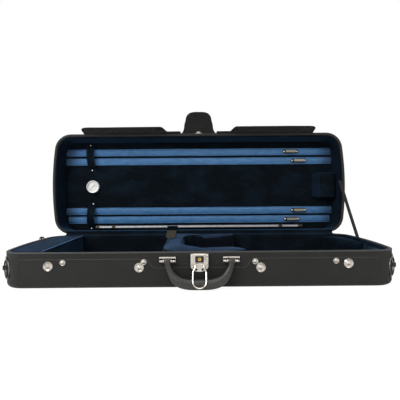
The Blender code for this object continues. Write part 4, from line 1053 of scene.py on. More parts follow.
def puffed(piece: Piece, pressure: float, cap: float, low: Vector, high: Vector) -> None:
    """Swell a closed shape as stuffed cloth, then keep it inside its room.

    Args:
        piece: The shape, remeshed and a little small.
        pressure: The cloth's inner pressure.
        cap: How far a point may move.
        low: Lowest corner of its room.
        high: Highest corner of its room.
    """
    start = [vertex.co.copy() for vertex in piece.data.vertices]
    cloth = piece.modifiers.new("puff", "CLOTH")
    cloth.settings.quality = 4
    cloth.settings.use_pressure = True
    cloth.settings.uniform_pressure_force = pressure
    cloth.settings.effector_weights.gravity = 0
    cloth.point_cache.frame_start = 1
    cloth.point_cache.frame_end = CLOTH_FRAMES
    for frame in range(1, CLOTH_FRAMES + 1):
        bpy.context.scene.frame_set(frame)
    baked(piece)
    bpy.context.scene.frame_set(1)
    for vertex, rest in zip(piece.data.vertices, start):
        shift = vertex.co - rest
        if shift.length > cap:
            shift = shift.normalized() * cap
        place = rest + shift
        vertex.co = Vector(min(max(value, a), b) for value, a, b in zip(place, low, high))


def remeshed(piece: Piece, voxel: float, rounds: int) -> Piece:
    """Give a closed shape an even mesh with eased edges."""
    even = piece.modifiers.new("even", "REMESH")
    even.mode = "VOXEL"
    even.voxel_size = voxel
    soft = piece.modifiers.new("soft", "SMOOTH")
    soft.iterations = rounds
    return baked(piece)


def soft_block(
    name: str, plan: Sequence[Plan], low: float, high: float, voxel: float, shrink: float
) -> Piece:
    """Make a remeshed, slightly shrunken slab, ready to be swollen.

    Args:
        name: The piece's name.
        plan: Its outline from above.
        low: Height of its foot.
        high: Height of its top.
        voxel: Size of its mesh's faces.
        shrink: How far its surface is drawn in.

    Returns:
        The slab.
    """
    piece = remeshed(rings_solid(name, [[(x, y, z) for x, y in plan] for z in (low, high)]), voxel, 4)
    for vertex, normal in zip(piece.data.vertices, [v.normal.copy() for v in piece.data.vertices]):
        vertex.co -= normal * shrink
    return piece


def finish_soft(piece: Piece) -> None:
    """Subdivide a swollen piece once and shade it smooth."""
    fine = piece.modifiers.new("fine", "SUBSURF")
    fine.levels = fine.render_levels = 1
    baked(piece)
    piece.data.shade_smooth()


def on_surface(piece: Piece, points: Line, lift: float) -> list[Vector]:
    """Draw points to a piece's surface.

    Args:
        piece: The piece.
        points: The points.
        lift: How far off the surface they end.

    Returns:
        The points on the surface.
    """
    places = []
    for point in points:
        _, place, normal, _ = piece.closest_point_on_mesh(point)
        places.append(place + normal * lift)
    return places


def sheet_solid(
    name: str, rows: Sequence[Line], thickness: float, matrix: Matrix | None = None
) -> Piece:
    """Give a grid of points the thickness of cloth, with rounded edges.

    Args:
        name: The piece's name.
        rows: Rows of the same number of points.
        thickness: The cloth's thickness.
        matrix: A move applied to the mesh.

    Returns:
        The object.
    """
    count = len(rows[0])
    points = [point for row in rows for point in row]
    faces = []
    for row in range(len(rows) - 1):
        for column in range(count - 1):
            start = row * count + column
            faces.append((start, start + 1, start + count + 1, start + count))
    piece = solid(name, points, faces, matrix)
    body = piece.modifiers.new("thick", "SOLIDIFY")
    body.thickness = thickness
    body.offset = 0.0
    body.use_even_offset = True
    bevelled(piece, thickness * 0.35, 60)
    baked(piece)
    piece.data.shade_smooth()
    return piece


def outline_of(rows: Sequence[Line]) -> list[Vector]:
    """The edge of a grid, from its first row's start round three sides to that row's end."""
    left = [row[0] for row in rows]
    right = [row[-1] for row in rows]
    return left + list(rows[-1][1:-1]) + right[::-1]


@dataclass(frozen=True)
class SubAssembly:
    """Pieces of the case that are made and dressed together."""

    wear: Wardrobe
    sewing: Haberdashery

    def build(self) -> None:
        """Make the pieces."""
        raise NotImplementedError


@dataclass(frozen=True)
class BaseBody(SubAssembly):
    """Covering, bindings, hems and linings of the base."""

    cover_below_rim: float = 0.0033
    foot_round: float = 0.009
    wall_from: float = 0.030
    floor_round: float = 0.006
    seams_below_rim: tuple[tuple[str, float], ...] = (("rim", 0.0052), ("foot", 0.0622))
    hem_half: float = 0.352
    hem_below_rim: float = 0.0036
    hem_thick: float = 0.0010
    hem_edge: float = 0.0137
    dip_half: float = 0.106
    dip_slope: float = 0.018
    dip_drop: float = 0.0176
    hem_seams: tuple[tuple[str, float, float], ...] = (("edge", 0.0026, 0.349), ("inner", 0.0085, 0.088))

    def build(self) -> None:
        """Make the base's pieces."""
        foot, top = self.foot_round, RIM - self.cover_below_rim
        section = edge_round(foot, foot, 0.0, -1) + [(0.0, self.wall_from), (0.0, top)]
        section += [(COVER_THICK, top), (COVER_THICK, self.wall_from)]
        section += edge_round(foot, foot - COVER_THICK, COVER_THICK, -1)[::-1]
        cover = PLAN.swept("base_covering", section)
        settle(cover, self.wear.cover, "base", Slot.COVER, "base_cover", "bottom_panel")
        section = binding_section(RIM - BINDING_TALL / 2 + BINDING_LAP)
        binding = PLAN.swept("base_binding", section, loop=True)
        settle(binding, self.wear.piping, "base", Slot.BINDING, "base_rim_binding")
        self.lining()
        self.hem()
        for name, drop in self.seams_below_rim:
            line = PLAN.wall(-0.0001, RIM - drop)
            ways = outward(line)
            self.sewing.sew(f"base_{name}_stitches", line, ways, self.wear.thread, "base", closed=True)

    def lining(self) -> None:
        """Velvet lining with a rolled top edge and a rounded floor."""
        rim = RIM - LINING_STEP
        middle, half = (LINING_OUT + LINING_IN) / 2, (LINING_IN - LINING_OUT) / 2
        roll = [(middle - half * cos(a), rim - half + half * sin(a))
                for a in (pi * step / 8 for step in range(9))]
        foot = edge_round(LINING_IN + self.floor_round, self.floor_round, FLOOR_TOP, -1, 5)[::-1]
        piece = PLAN.swept("base_velvet", [(LINING_OUT, LINING_OUT)] + roll + foot)
        settle(piece, self.wear.navy, "base", Slot.NAVY, "base_lining")

    def hem(self) -> None:
        """The covering's turned hem on the front, which dips in the middle behind the handle."""
        columns, rows = 150, 4
        top = RIM - self.hem_below_rim
        grid = []
        for row in range(rows + 1):
            line = []
            for column in range(columns + 1):
                x = -self.hem_half + 2 * self.hem_half * column / columns
                low = self.hem_line(x)
                line.append(Vector((x, FRONT - 0.0003, top + (low - top) * row / rows)))
            grid.append(line)
        piece = sheet_solid("front_hem", grid, self.hem_thick)
        settle(piece, self.wear.cover, "base", Slot.COVER)
        fold = [Vector((point.x, FRONT - 0.0002, point.z)) for point in grid[-1]]
        cord = corded("hem_fold", fold, (0.0016, 0.0016, 0.0007, 2), FRONTWARD)
        settle(cord, self.wear.piping, "base", Slot.COVER)
        for name, inset, reach in self.hem_seams:
            xs = [-reach + 2 * reach * step / 120 for step in range(121)]
            path = [Vector((x, FRONT - 0.0009, self.hem_line(x) + inset)) for x in xs]
            self.sewing.sew(f"hem_{name}_stitches", path, FRONTWARD, self.wear.thread, "base")

    def hem_line(self, x: float) -> float:
        """Height of the hem's lower edge along the front."""
        share = ease((self.dip_half - abs(x)) / self.dip_slope)
        return RIM - self.hem_edge - self.dip_drop * share


@dataclass(frozen=True)
class LidBody(SubAssembly):
    """Covering, binding and lining of the lid."""

    cover_above_rim: float = 0.0033
    crown_round: float = 0.014
    wall_from: float = 0.03
    velvet_gap: float = 0.0012
    panel_inset: float = 0.004
    panel_round: float = 0.003
    seams: tuple[tuple[str, float], ...] = (("rim", LID_RIM + 0.0056), ("crown", LID_TOP - 0.016))

    def build(self) -> None:
        """Make the lid's pieces."""
        crown, low, wall = self.crown_round, LID_RIM + self.cover_above_rim, LID_RIM + self.wall_from
        section = edge_round(crown, crown, LID_TOP, 1, 10) + [(0.0, wall), (0.0, low), (COVER_THICK, low)]
        section += [(COVER_THICK, wall)]
        section += edge_round(crown, crown - COVER_THICK, LID_TOP - COVER_THICK, 1, 10)[::-1]
        cover = PLAN.swept("lid_covering", section, LidSpace.opened)
        settle(cover, self.wear.cover, "lid", Slot.COVER, "lid_cover")
        section = binding_section(LID_RIM + BINDING_TALL / 2 - BINDING_LAP)
        binding = PLAN.swept("lid_binding", section, LidSpace.opened, loop=True)
        settle(binding, self.wear.rim, "lid", Slot.BINDING, "lid_rim_binding")
        self.lining()
        for name, height in self.seams:
            line = PLAN.wall(-0.0001, height)
            ways = [LidSpace.direction(way) for way in outward(line)]
            path = [LidSpace.opened @ point for point in line]
            self.sewing.sew(
                f"lid_{name}_stitches", path, ways, self.wear.thread, "lid", closed=True)

    def lining(self) -> None:
        """Velvet lining with a rolled edge and a padded panel."""
        rim, panel, fillet = LID_RIM + LINING_STEP, LID_RIM + HOLLOW, self.panel_round
        thin = LINING_IN - LINING_OUT - self.velvet_gap
        middle, half = (LINING_OUT + LINING_IN) / 2, (LINING_IN - LINING_OUT) / 2
        section: list[Sequence[float]] = list(
            edge_round(self.crown_round, self.crown_round - LINING_OUT, LID_TOP - LINING_OUT, 1))
        for step in range(9):
            angle = pi * step / 8
            section.append(
                (middle - half * cos(angle), rim + half - half * sin(angle), thin * step / 8))
        for step in range(6):
            angle = pi / 2 * step / 5
            inset = LINING_IN + self.panel_inset + fillet * (1 - cos(angle))
            height = panel - fillet + fillet * sin(angle)
            section.append((inset, height, inset - LINING_OUT - self.velvet_gap))
        piece = PLAN.swept("lid_velvet", section, LidSpace.opened)
        settle(piece, self.wear.navy, "lid", Slot.NAVY, "lid_lining")


@dataclass(frozen=True)
class Cushions(SubAssembly):
    """Neck cushion with its strap, end pads, divider and accessory lid."""

    wall: float = HALF_WIDTH - LINING_IN - GAP
    foot: float = FLOOR_TOP + GAP
    neck_left: float = -0.081
    neck_tip: float = 0.0925
    neck_half: float = 0.0960
    neck_round: float = 0.055
    cavity_left: float = -0.040
    neck_top: float = 0.0782
    neck_crown: float = 0.0796
    seam_height: float = 0.0768
    strap_x: float = -0.0677
    strap_y: float = 0.008
    strap_foot: float = 0.0797
    strap_tall: float = 0.027
    strap_wide: float = 0.0244
    pad_radius: float = 0.167
    pad_end: float = 0.3835
    pad_sides: tuple[tuple[str, float, int], ...] = (("rear", 0.011, 1), ("front", 0.004, -1))
    lid_edge: float = -0.312
    lid_top: float = RIM - 0.001
    lid_board: float = 0.003
    tab_x: float = -0.3765
    tab_y: float = 0.022
    tab_wide: float = 0.012
    tab_thick: float = 0.0016

    def build(self) -> None:
        """Make the padded pieces of the base."""
        self.neck()
        self.strap()
        self.end_pads()
        self.divider()
        self.accessory_lid()
        self.pull_tab()

    def neck_plan(self) -> list[Plan]:
        """The neck cushion's U, as (x, y), from its front arm round its nose to its rear arm."""
        wall, tip, half, bend = self.wall, self.neck_tip, self.neck_half, self.neck_round
        corner_x, corner_y = self.cavity_left + bend, half - bend
        turns = [pi / 2 * step / 10 for step in range(11)]
        plan = [(-0.0738, -wall), (tip + 0.008, -wall), (tip + 0.006, -wall + 0.004), (tip - 0.022, -half)]
        for start, y in ((-pi / 2, -corner_y), (pi, corner_y)):
            plan += arc((corner_x, y), bend, [start - turn for turn in turns])
        plan += [(tip, half), (tip, wall), (self.neck_left, wall)]
        return plan + [(-0.0808, 0.050), (-0.0802, 0.0), (-0.0790, -0.050), (-0.0768, -0.090)]

    def neck(self) -> None:
        """The cushion, swollen, with piping along its top seams."""
        low = Vector((self.neck_left - 0.0002, -self.wall, self.foot))
        high = Vector((self.neck_tip + 0.0025, self.wall, self.neck_crown))
        plan = self.neck_plan()
        piece = soft_block("neck_cushion_velvet", plan, self.foot, self.neck_top, 0.005, 0.0020)
        puffed(piece, 4.0, 0.005, low, high)
        finish_soft(piece)
        settle(piece, self.wear.blue, "base", Slot.BLUE, "neck_cushion")
        for name, line in (("nose", plan[-5:] + plan[:1]), ("cavity", plan[3:-7])):
            path = []
            for (x0, y0), (x1, y1) in zip(line, line[1:]):
                steps = max(int(hypot(x1 - x0, y1 - y0) / 0.006), 1)
                for s in range(steps):
                    x, y = x0 + (x1 - x0) * s / steps, y0 + (y1 - y0) * s / steps
                    path.append(Vector((x, y, self.seam_height)))
            places = on_surface(piece, path, 0.0004)
            cord = corded(f"neck_{name}_piping", places, (0.0022, 0.0022, 0.0010, 2), UP)
            settle(cord, self.wear.blue, "base", Slot.BLUE)

    def strap(self) -> None:
        """Strap that stands from the cushion: a hook-tape face with a folded velvet end."""
        x, y, foot = self.strap_x, self.strap_y, self.strap_foot
        tall, wide = self.strap_tall, self.strap_wide
        rows = []
        for row in range(13):
            share = row / 12
            bow = 0.0009 * sin(share * pi)
            left = x - wide / 2 + 0.0050 * share
            height = foot + tall * share * 0.97
            rows.append([Vector((left + wide * c / 8, y + bow, height)) for c in range(9)])
        piece = sheet_solid("strap_velvet", rows, 0.0018)
        settle(piece, self.wear.navy, "neck_strap", Slot.BLUE, "neck_strap")
        face = [[point + Vector((0.0012 * (1 if c < 4 else -1), -0.0012, 0)) for c, point in enumerate(row)]
                for row in rows[:9]]
        hook = sheet_solid("strap_hook_tape", face, 0.0005)
        settle(hook, self.wear.hook, "neck_strap", Slot.BLUE)
        end = [Vector((x - 0.0076 + 0.0252 * c / 8, y, foot + tall - 0.0004)) for c in range(9)]
        fold = corded("strap_fold", end, (0.0034, 0.0032, 0.0015, 3), UP)
        settle(fold, self.wear.blue, "neck_strap", Slot.BLUE)
        for row, height in enumerate((0.004, 0.0185)):
            path = [Vector((x - 0.0095 + 0.019 * c / 6, y - 0.0016, foot + height)) for c in range(7)]
            self.sewing.sew(
                f"strap_stitches_{row + 1}", path, FRONTWARD, self.wear.blue_thread, "neck_strap",
                Slot.BLUE, 0.0024, 0.0005)

    def end_pads(self) -> None:
        """The two pads that hold the instrument's lower end."""
        clear = LINING_IN + GAP
        wall, steps = HALF_WIDTH - clear, 14
        low, high, radius = self.foot, RIM - 0.004, self.pad_radius
        for name, near, side in self.pad_sides:
            inner = []
            for step in range(steps + 1):
                y = near + (side * wall - near) * step / steps
                inner.append((self.pad_end - radius + sqrt(radius**2 - y**2), y))
            outer = [(x, y) for x, y in PLAN.outline(clear) if x > inner[-1][0] and side * (y - near) > 0.001]
            outer.sort(key=lambda point: atan2(point[1] * side, point[0]))
            plan = [(outer[0][0], near)] + outer + inner[::-1]
            piece = soft_block(f"end_pad_{name}_velvet", plan, low, high, 0.004, 0.0012)
            xs, ys = [point[0] for point in plan], [point[1] for point in plan]
            puffed(piece, 3.0, 0.003, Vector((min(xs) - 0.001, min(ys), low)),
                   Vector((max(xs), max(ys), high + 0.0012)))
            finish_soft(piece)
            settle(piece, self.wear.navy, "base", Slot.NAVY, f"end_cushion_{name}")

    def divider(self) -> None:
        """Velvet-covered divider of the compartment."""
        low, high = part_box("compartment_divider")
        middle = (low + high) / 2
        path = [Vector((middle.x, low.y + (high.y - low.y) * s / 20, middle.z)) for s in range(21)]
        piece = corded("divider_velvet", path, (high.x - low.x, high.z - low.z, 0.0024, 4), UP)
        settle(piece, self.wear.navy, "base", Slot.NAVY, "compartment_divider")

    def accessory_lid(self) -> None:
        """Padded lid of the compartment, with piping along its edge."""
        edge, top, under = self.lid_edge, self.lid_top, self.lid_top - self.lid_board
        rings = []
        for inset, height in ((0.0022, under), (0.0006, under + 0.0008), (0.0, top - 0.0012),
                              (0.0010, top - 0.0002), (0.0030, top + 0.0006), (0.0100, top + 0.0011)):
            plan = [(x, y) for x, y in PLAN.outline(LINING_IN + GAP + inset) if x < edge - inset - 0.0005]
            plan.sort(key=lambda point: atan2(point[1], point[0]) % (2 * pi))
            last = len(plan) - 1
            keep = [plan[0]] + [plan[round(i * last / 40)] for i in range(1, 40)] + [plan[-1]]
            reach = abs(keep[0][1])
            keep = [(edge - inset, reach)] + keep + [(edge - inset, -reach)]
            rings.append([(x, y, height) for x, y in keep])
        lid = rings_solid("accessory_lid_velvet", rings)
        settle(lid, self.wear.midnight, "accessory_lid", Slot.BLUE, "accessory_lid")
        reach = HALF_WIDTH - LINING_IN - 0.003
        line = [Vector((edge - 0.0010, reach - 2 * reach * s / 40, top + 0.0009)) for s in range(41)]
        cord = corded("accessory_piping", line, (0.0026, 0.0026, 0.0012, 3), UP)
        settle(cord, self.wear.trim, "accessory_lid", Slot.BLUE)

    def pull_tab(self) -> None:
        """Leather tab folded up from the accessory lid, with two rivets."""
        x, y, top, thick = self.tab_x, self.tab_y, self.lid_top, self.tab_thick
        seat = GAP + thick / 2
        bends = ((-0.010, seat), (-0.004, seat), (-0.0015, 0.0020), (-0.0011, 0.0045), (-0.0011, 0.0082),
                 (-0.0011, 0.0108), (-0.0011, 0.0128))

        def shape(share: float) -> list[Plan]:
            """The tab's section, drawn in towards its round end."""
            round_off = sqrt(max(1 - max((share - 0.72) / 0.29, 0.0) ** 2, 0.02))
            return rounded_box(self.tab_wide * round_off, thick, 0.0006, 2)

        path = smooth_path([Vector((x, y + back, top + up)) for back, up in bends], 5)
        tab = followed("pull_tab_leather", path, shape, UP)
        settle(tab, self.wear.leather, "accessory_lid", Slot.LEATHER, "pull_tab")
        places = [Vector((x + aside, y - 0.0021, top + 0.0065)) for aside in (-0.003, 0.003)]
        self.sewing.fasten("pull_tab_rivets", "rivet", [Spot(place, FRONTWARD, 0.6) for place in places],
                           self.wear.nickel, "accessory_lid")


@dataclass(frozen=True)
class BowFittings(SubAssembly):
    """Satin bands, frog loops and turn buttons in the lid."""

    seat: float = HOLLOW - GAP
    band_section: tuple[Plan, ...] = (
        (-0.0100, 0.0), (-0.0100, 0.0012), (-0.0092, 0.0021), (-0.0082, 0.0018), (-0.0076, 0.0018),
        (-0.0060, 0.0026), (-0.0030, 0.0030), (0.0, 0.0031), (0.0030, 0.0030), (0.0060, 0.0026),
        (0.0076, 0.0018), (0.0082, 0.0018), (0.0092, 0.0021), (0.0100, 0.0012), (0.0100, 0.0))
    outer_reach: float = 0.006
    inner_reach: float = 0.003
    seam_across: float = 0.0079
    loops: tuple[tuple[str, float, float, float, float], ...] = (
        ("lower", -0.3075, 0.0130, 0.0817, 0.0020), ("upper", -0.3080, 0.1790, 0.2499, -0.0060))
    loop_foot: float = 0.007
    loop_rise: float = 0.014
    loop_half: float = 0.011
    plate_face: float = HOLLOW - GAP - 0.003 - GAP - 0.0022
    screw_aside: float = 0.0186
    rivet_places: tuple[Plan, ...] = ((-0.311, 0.2505), (-0.306, 0.1785), (-0.303, 0.0822), (-0.308, 0.0126))

    def build(self) -> None:
        """Make the pieces."""
        for number, v in enumerate(BAND_VS, 1):
            self.band(number, v)
        for loop in self.loops:
            self.loop(*loop)
        self.screws()

    def band(self, number: int, v: float) -> None:
        """One padded band with a welt along each edge."""
        _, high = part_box(f"bow_band_{number}")
        reach = high.x + (self.outer_reach if number in (1, 4) else self.inner_reach)
        steps = 160
        rings = []
        for step in range(steps + 1):
            x = reach * (2 * step / steps - 1)
            swell = 0.0003 * noise.noise(Vector((x * 38, number * 7.3, 0.0)))
            sway = 0.0004 * noise.noise(Vector((x * 11, number * 3.1, 5.0)))
            rings.append([
                LidSpace.shut(x, v + across + sway, self.seat - height - (swell if height > 0.002 else 0.0))
                for across, height in self.band_section
            ])
        piece = rings_solid(f"bow_band_{number}_satin", rings, LidSpace.opened, crease=60)
        settle(piece, self.wear.satin, "lid", Slot.SATIN, f"bow_band_{number}")
        for side, across in (("low", -self.seam_across), ("high", self.seam_across)):
            xs = [high.x * (s / 30 - 1) for s in range(61)]
            line = [LidSpace.point(x, v + across, self.seat - 0.0019) for x in xs]
            self.sewing.sew(f"band_{number}_{side}_stitches", line, LidSpace.out,
                            self.wear.blue_thread, "lid", Slot.SATIN, 0.0030, 0.0005)

    def loop(self, name: str, x: float, low: float, high: float, lean: float) -> None:
        """Make a velvet loop that rises over two bands.

        Args:
            name: Which loop.
            x: Its place along the lid.
            low: Its lower end.
            high: Its upper end.
            lean: How far it leans sideways on its way up.
        """
        steps, foot, half = 44, self.loop_foot, self.loop_half
        rows = []
        for step in range(steps + 1):
            v = low - foot / 2 + (high - low + foot) * step / steps
            inside = min(max((v - low - foot / 2) / (high - low - foot), 0.0), 1.0)
            depth = self.seat - 0.0008 - self.loop_rise * sin(pi * inside) ** 0.55
            line = []
            for column in range(11):
                across = column / 5 - 1
                crown = 0.0006 * (1 - across**2) * sin(pi * inside)
                drawn_in = 1 - 0.05 * sin(pi * inside)
                place = x + lean * (step / steps - 0.5) + half * across * drawn_in
                line.append(LidSpace.shut(place, v, depth - crown))
            rows.append(line)
        piece = sheet_solid(f"frog_loop_{name}_velvet", rows, 0.0016, LidSpace.opened)
        settle(piece, self.wear.navy, "lid", Slot.NAVY, f"frog_loop_{name}")
        length_of([row[5] for row in rows])
        for side, column in (("left", 1), ("right", 9)):
            path = [LidSpace.opened @ row[column] + LidSpace.out * 0.0009 for row in rows]
            self.sewing.sew(f"loop_{name}_{side}_stitches", path, LidSpace.out,
                            self.wear.blue_thread, "lid", Slot.NAVY, 0.0032, 0.0005)

    def screws(self) -> None:
        """Screws of the turn buttons' plates and rivets of the loops."""
        spots = []
        for number, (x, row) in enumerate(SPINNERS):
            for side in (-1, 1):
                place = LidSpace.point(x + side * self.screw_aside, BAND_VS[row], self.plate_face)
                spots.append(Spot(place, LidSpace.out, 1.0, 0.7 * number + side))
        self.sewing.fasten("spinner_screws", "screw", spots, self.wear.chrome, "lid")
        places = [LidSpace.point(x, v, self.seat - 0.0016) for x, v in self.rivet_places]
        spots = [Spot(place, LidSpace.out, 0.72) for place in places]
        self.sewing.fasten("loop_rivets", "rivet", spots, self.wear.chrome, "lid")


@dataclass(frozen=True)
class LidFittings(SubAssembly):
    """Hygrometer, pocket, hinge gusset, rain flap and stay."""

    seat: float = HOLLOW - GAP
    dial_x: float = -0.3034
    dial_v: float = 0.1314
    marks: int = 31
    pocket_low: float = 0.0965
    pocket_high: float = 0.1655
    pocket_deep: float = 0.028
    pocket_cloth: float = 0.0018
    flap_cloth: float = 0.0012
    flap_seam_y: float = FRONT - GAP - 0.0008
    wing_seam: float = LID_RIM + 0.0055
    wing_lean: float = radians(17)
    wing_from: float = 0.0515
    wing_long: float = 0.2615
    wing_narrow: float = 0.0085
    wing_wide: float = 0.034
    wing_notch: float = 0.086
    wing_slope: float = 0.016
    wing_round: float = 0.010
    socket_places: Plan = (0.109, 0.267)
    tab_seam: float = LID_RIM + 0.0022 + 0.009 + 0.003
    tab_half: float = 0.0375
    tab_root_half: float = 0.0500
    tab_long: float = 0.0607
    tab_sewn: float = 0.0007
    tab_waist: float = 0.025
    tab_taper: float = 0.004
    tab_straight: float = 0.040
    tab_round: float = 0.020
    tab_tip_half: float = 0.0136
    gusset_half: float = 0.362
    gusset_path: tuple[Plan, ...] = (
        (0.1282, 0.0713), (0.1297, 0.0722), (0.1330, 0.0723), (0.1356, 0.0726), (0.1372, 0.0738),
        (0.1382, 0.0768), (0.1391, 0.0818))
    stay_end: float = 0.012
    stay_slack: float = 0.0012

    def build(self) -> None:
        """Make the pieces."""
        self.hygrometer()
        self.dial_marks()
        self.pocket()
        self.gusset()
        self.tube_foot()
        for name, side in SIDES:
            self.wing(name, side)
        self.tab()
        self.stay()

    def hygrometer(self) -> None:
        """Round case with a rolled bezel, its dial and its glass."""
        wear = self.wear
        place = Matrix.Translation(LidSpace.shut(self.dial_x, self.dial_v, self.seat))
        carry = LidSpace.opened @ place @ Matrix.Rotation(pi, 4, "X")
        case = ((0.0001, 0.0), (0.0180, 0.0), (0.0180, 0.0062), (0.0176, 0.0078), (0.0168, 0.0085),
                (0.0160, 0.0083), (0.0157, 0.0076), (0.0160, 0.0068), (0.0162, 0.0030), (0.0001, 0.0030))
        dial = ((0.0001, 0.0032), (0.0157, 0.0032), (0.0159, 0.0036), (0.0157, 0.0041), (0.0001, 0.0041))
        glass = ((0.0001, 0.0062), (0.0154, 0.0060), (0.0155, 0.0067), (0.0080, 0.0071), (0.0001, 0.0073))
        for name, profile, finish, slot, node in (
            ("bezel", case, wear.chrome, Slot.NICKEL, "case"), ("face", dial, wear.enamel, Slot.DIAL, "dial"),
            ("lens", glass, wear.glass, Slot.GLASS, "glass"),
        ):
            piece = turned(f"hygrometer_{name}", profile, 56, carry)
            settle(piece, finish, "lid", slot, f"hygrometer_{node}")

    def dial_marks(self) -> None:
        """Plain scale marks on the dial, without figures."""
        centre = LidSpace.shut(self.dial_x, self.dial_v, self.seat - 0.0042)
        points, faces = [], []
        for number in range(self.marks):
            angle = radians(-135 + 9 * number)
            inner, half = (0.0105, 0.00035) if number % 5 == 0 else (0.0122, 0.0002)
            along = Vector((sin(angle), -cos(angle), 0))
            across = Vector((along.y, -along.x, 0))
            start = len(points)
            for depth in (0.0, -0.0001):
                for reach, side in ((inner, -1), (inner, 1), (0.0138, 1), (0.0138, -1)):
                    points.append(centre + along * reach + across * (half * side) + Vector((0, 0, depth)))
            faces += [tuple(range(start, start + 4)), tuple(range(start + 4, start + 8))]
            for i in range(4):
                j = (i + 1) % 4
                faces.append((start + i, start + j, start + 4 + j, start + 4 + i))
        settle(solid("dial_scale", points, faces, LidSpace.opened), self.wear.ink, "lid", Slot.NEEDLE)

    def pocket(self) -> None:
        """Soft velvet pocket with a hemmed mouth, and a paler velvet sheet on its slanted side as painted
        light.
        """
        low, high, cloth, back = self.pocket_low, self.pocket_high, self.pocket_cloth, self.seat
        front = back - self.pocket_deep
        outer = [(0.3255, back), (0.3390, front), (0.3800, front), (0.3800, back)]
        inner = [(0.3277, back), (0.3402, front + cloth), (0.3782, front + cloth), (0.3782, back)]
        rings = []
        for plan, v in ((outer, low), (outer, high), (inner, high), (inner, low + cloth)):
            rings.append([LidSpace.shut(x, v, depth) for x, depth in plan])
        piece = remeshed(rings_solid("pocket_velvet", rings, LidSpace.opened), 0.0009, 5)
        piece.data.shade_smooth()
        settle(piece, self.wear.navy, "lid", Slot.NAVY, "lid_pocket")
        # Painted light: a sheet of paler velvet lies on the pocket's slanted side, where the lamp falls.
        rows = []
        for row in range(13):
            v = low + 0.0012 + (high - low - 0.0024) * row / 12
            rows.append(
                [LidSpace.shut(0.3251 + 0.0131 * s / 6, v, back - 0.0006 - 0.0270 * s / 6) for s in range(7)])
        panel = sheet_solid("pocket_side_panel", rows, 0.0008, LidSpace.opened)
        settle(panel, self.wear.midnight, "lid", Slot.NAVY)
        mouth = [(0.3264, back - 0.001), (0.3394, front + 0.0009), (0.3791, front + 0.0009),
                 (0.3791, back - 0.001)]
        path = []
        for (x0, d0), (x1, d1) in zip(mouth, mouth[1:]):
            for s in range(12):
                path.append(LidSpace.shut(x0 + (x1 - x0) * s / 12, high - 0.0012, d0 + (d1 - d0) * s / 12))
        hem = corded("pocket_hem", path, (0.0026, 0.0030, 0.0012, 3), -FRONTWARD, matrix=LidSpace.opened)
        settle(hem, self.wear.midnight, "lid", Slot.NAVY)

    def flap_matrix(self, height: float, lean: float) -> Matrix:
        """Carry a flap's flat plan to where it stands on the open lid."""
        hang = Matrix.Rotation(-lean, 4, "X") @ Matrix.Rotation(pi / 2, 4, "X")
        return LidSpace.opened @ Matrix.Translation((0, self.flap_seam_y, height)) @ hang

    def wing_grid(self, side: int, columns: int, rows: int) -> list[list[Vector]]:
        """Rows of points of one wing, from its seam to its hem."""
        grid: list[list[Vector]] = [[] for _ in range(rows)]
        for column in range(columns + 1):
            x = self.wing_from + self.wing_long * (1 - (1 - column / columns) ** 1.25)
            slant = 0.004 * (x - 0.1) if side < 0 else 0.0
            for row in range(rows):
                t = row / (rows - 1)
                y = -self.wing_depth(x) * t
                wave = 0.0005 * noise.noise(Vector((side * x * 14, y * 20, 2.0))) * t
                drawn = t * (0.0004 - slant - 0.06 * max(x - 0.295, 0.0))
                grid[row].append(Vector((side * x, y, wave + drawn)))
        return grid

    def wing(self, name: str, side: int) -> None:
        """One wing of the rain flap, with a bound hem and its press sockets."""
        carry = self.flap_matrix(self.wing_seam, self.wing_lean)
        columns = 90
        grid = self.wing_grid(side, columns, 9)
        piece = sheet_solid(f"rain_flap_{name}_cloth", grid, self.flap_cloth, carry)
        settle(piece, self.wear.flap, "rain_flap", Slot.COVER, f"rain_flap_{name}")
        hem = corded(f"flap_{name}_hem", outline_of(grid), (0.0052, 0.0016, 0.0007, 3), UP, matrix=carry)
        settle(hem, self.wear.flap, "rain_flap", Slot.COVER)
        inward = (carry.to_3x3() @ Vector((0, 0, -1))).normalized()
        hemmed = [point for point in grid[-1][::2] if point.y < -0.02]
        for label, lift, way in (("", -0.0007, inward), ("outer_", 0.0005, -inward)):
            line = [carry @ (point + Vector((0, 0.0062, lift))) for point in hemmed]
            self.sewing.sew(f"flap_{name}_{label}stitches", line, way, self.wear.thread, "rain_flap")
        sets = (("sockets", "socket", -0.0004, inward), ("caps", "rivet", 0.0004, -inward))
        for label, kind, lift, way in sets:
            spots = [Spot(carry @ Vector((side * x, -0.0235, lift)), way, 0.7) for x in self.socket_places]
            self.sewing.fasten(f"flap_{name}_{label}", kind, spots, self.wear.bronze, "rain_flap")

    def wing_depth(self, x: float) -> float:
        """How far the wing reaches from its seam at one place along it."""
        share = min(max((x - self.wing_notch) / self.wing_slope, 0.0), 1.0)
        deep = self.wing_narrow + (self.wing_wide - self.wing_narrow) * (1 - cos(pi * share)) / 2
        return deep - fall_away(x - (self.wing_from + self.wing_long - self.wing_round), self.wing_round)

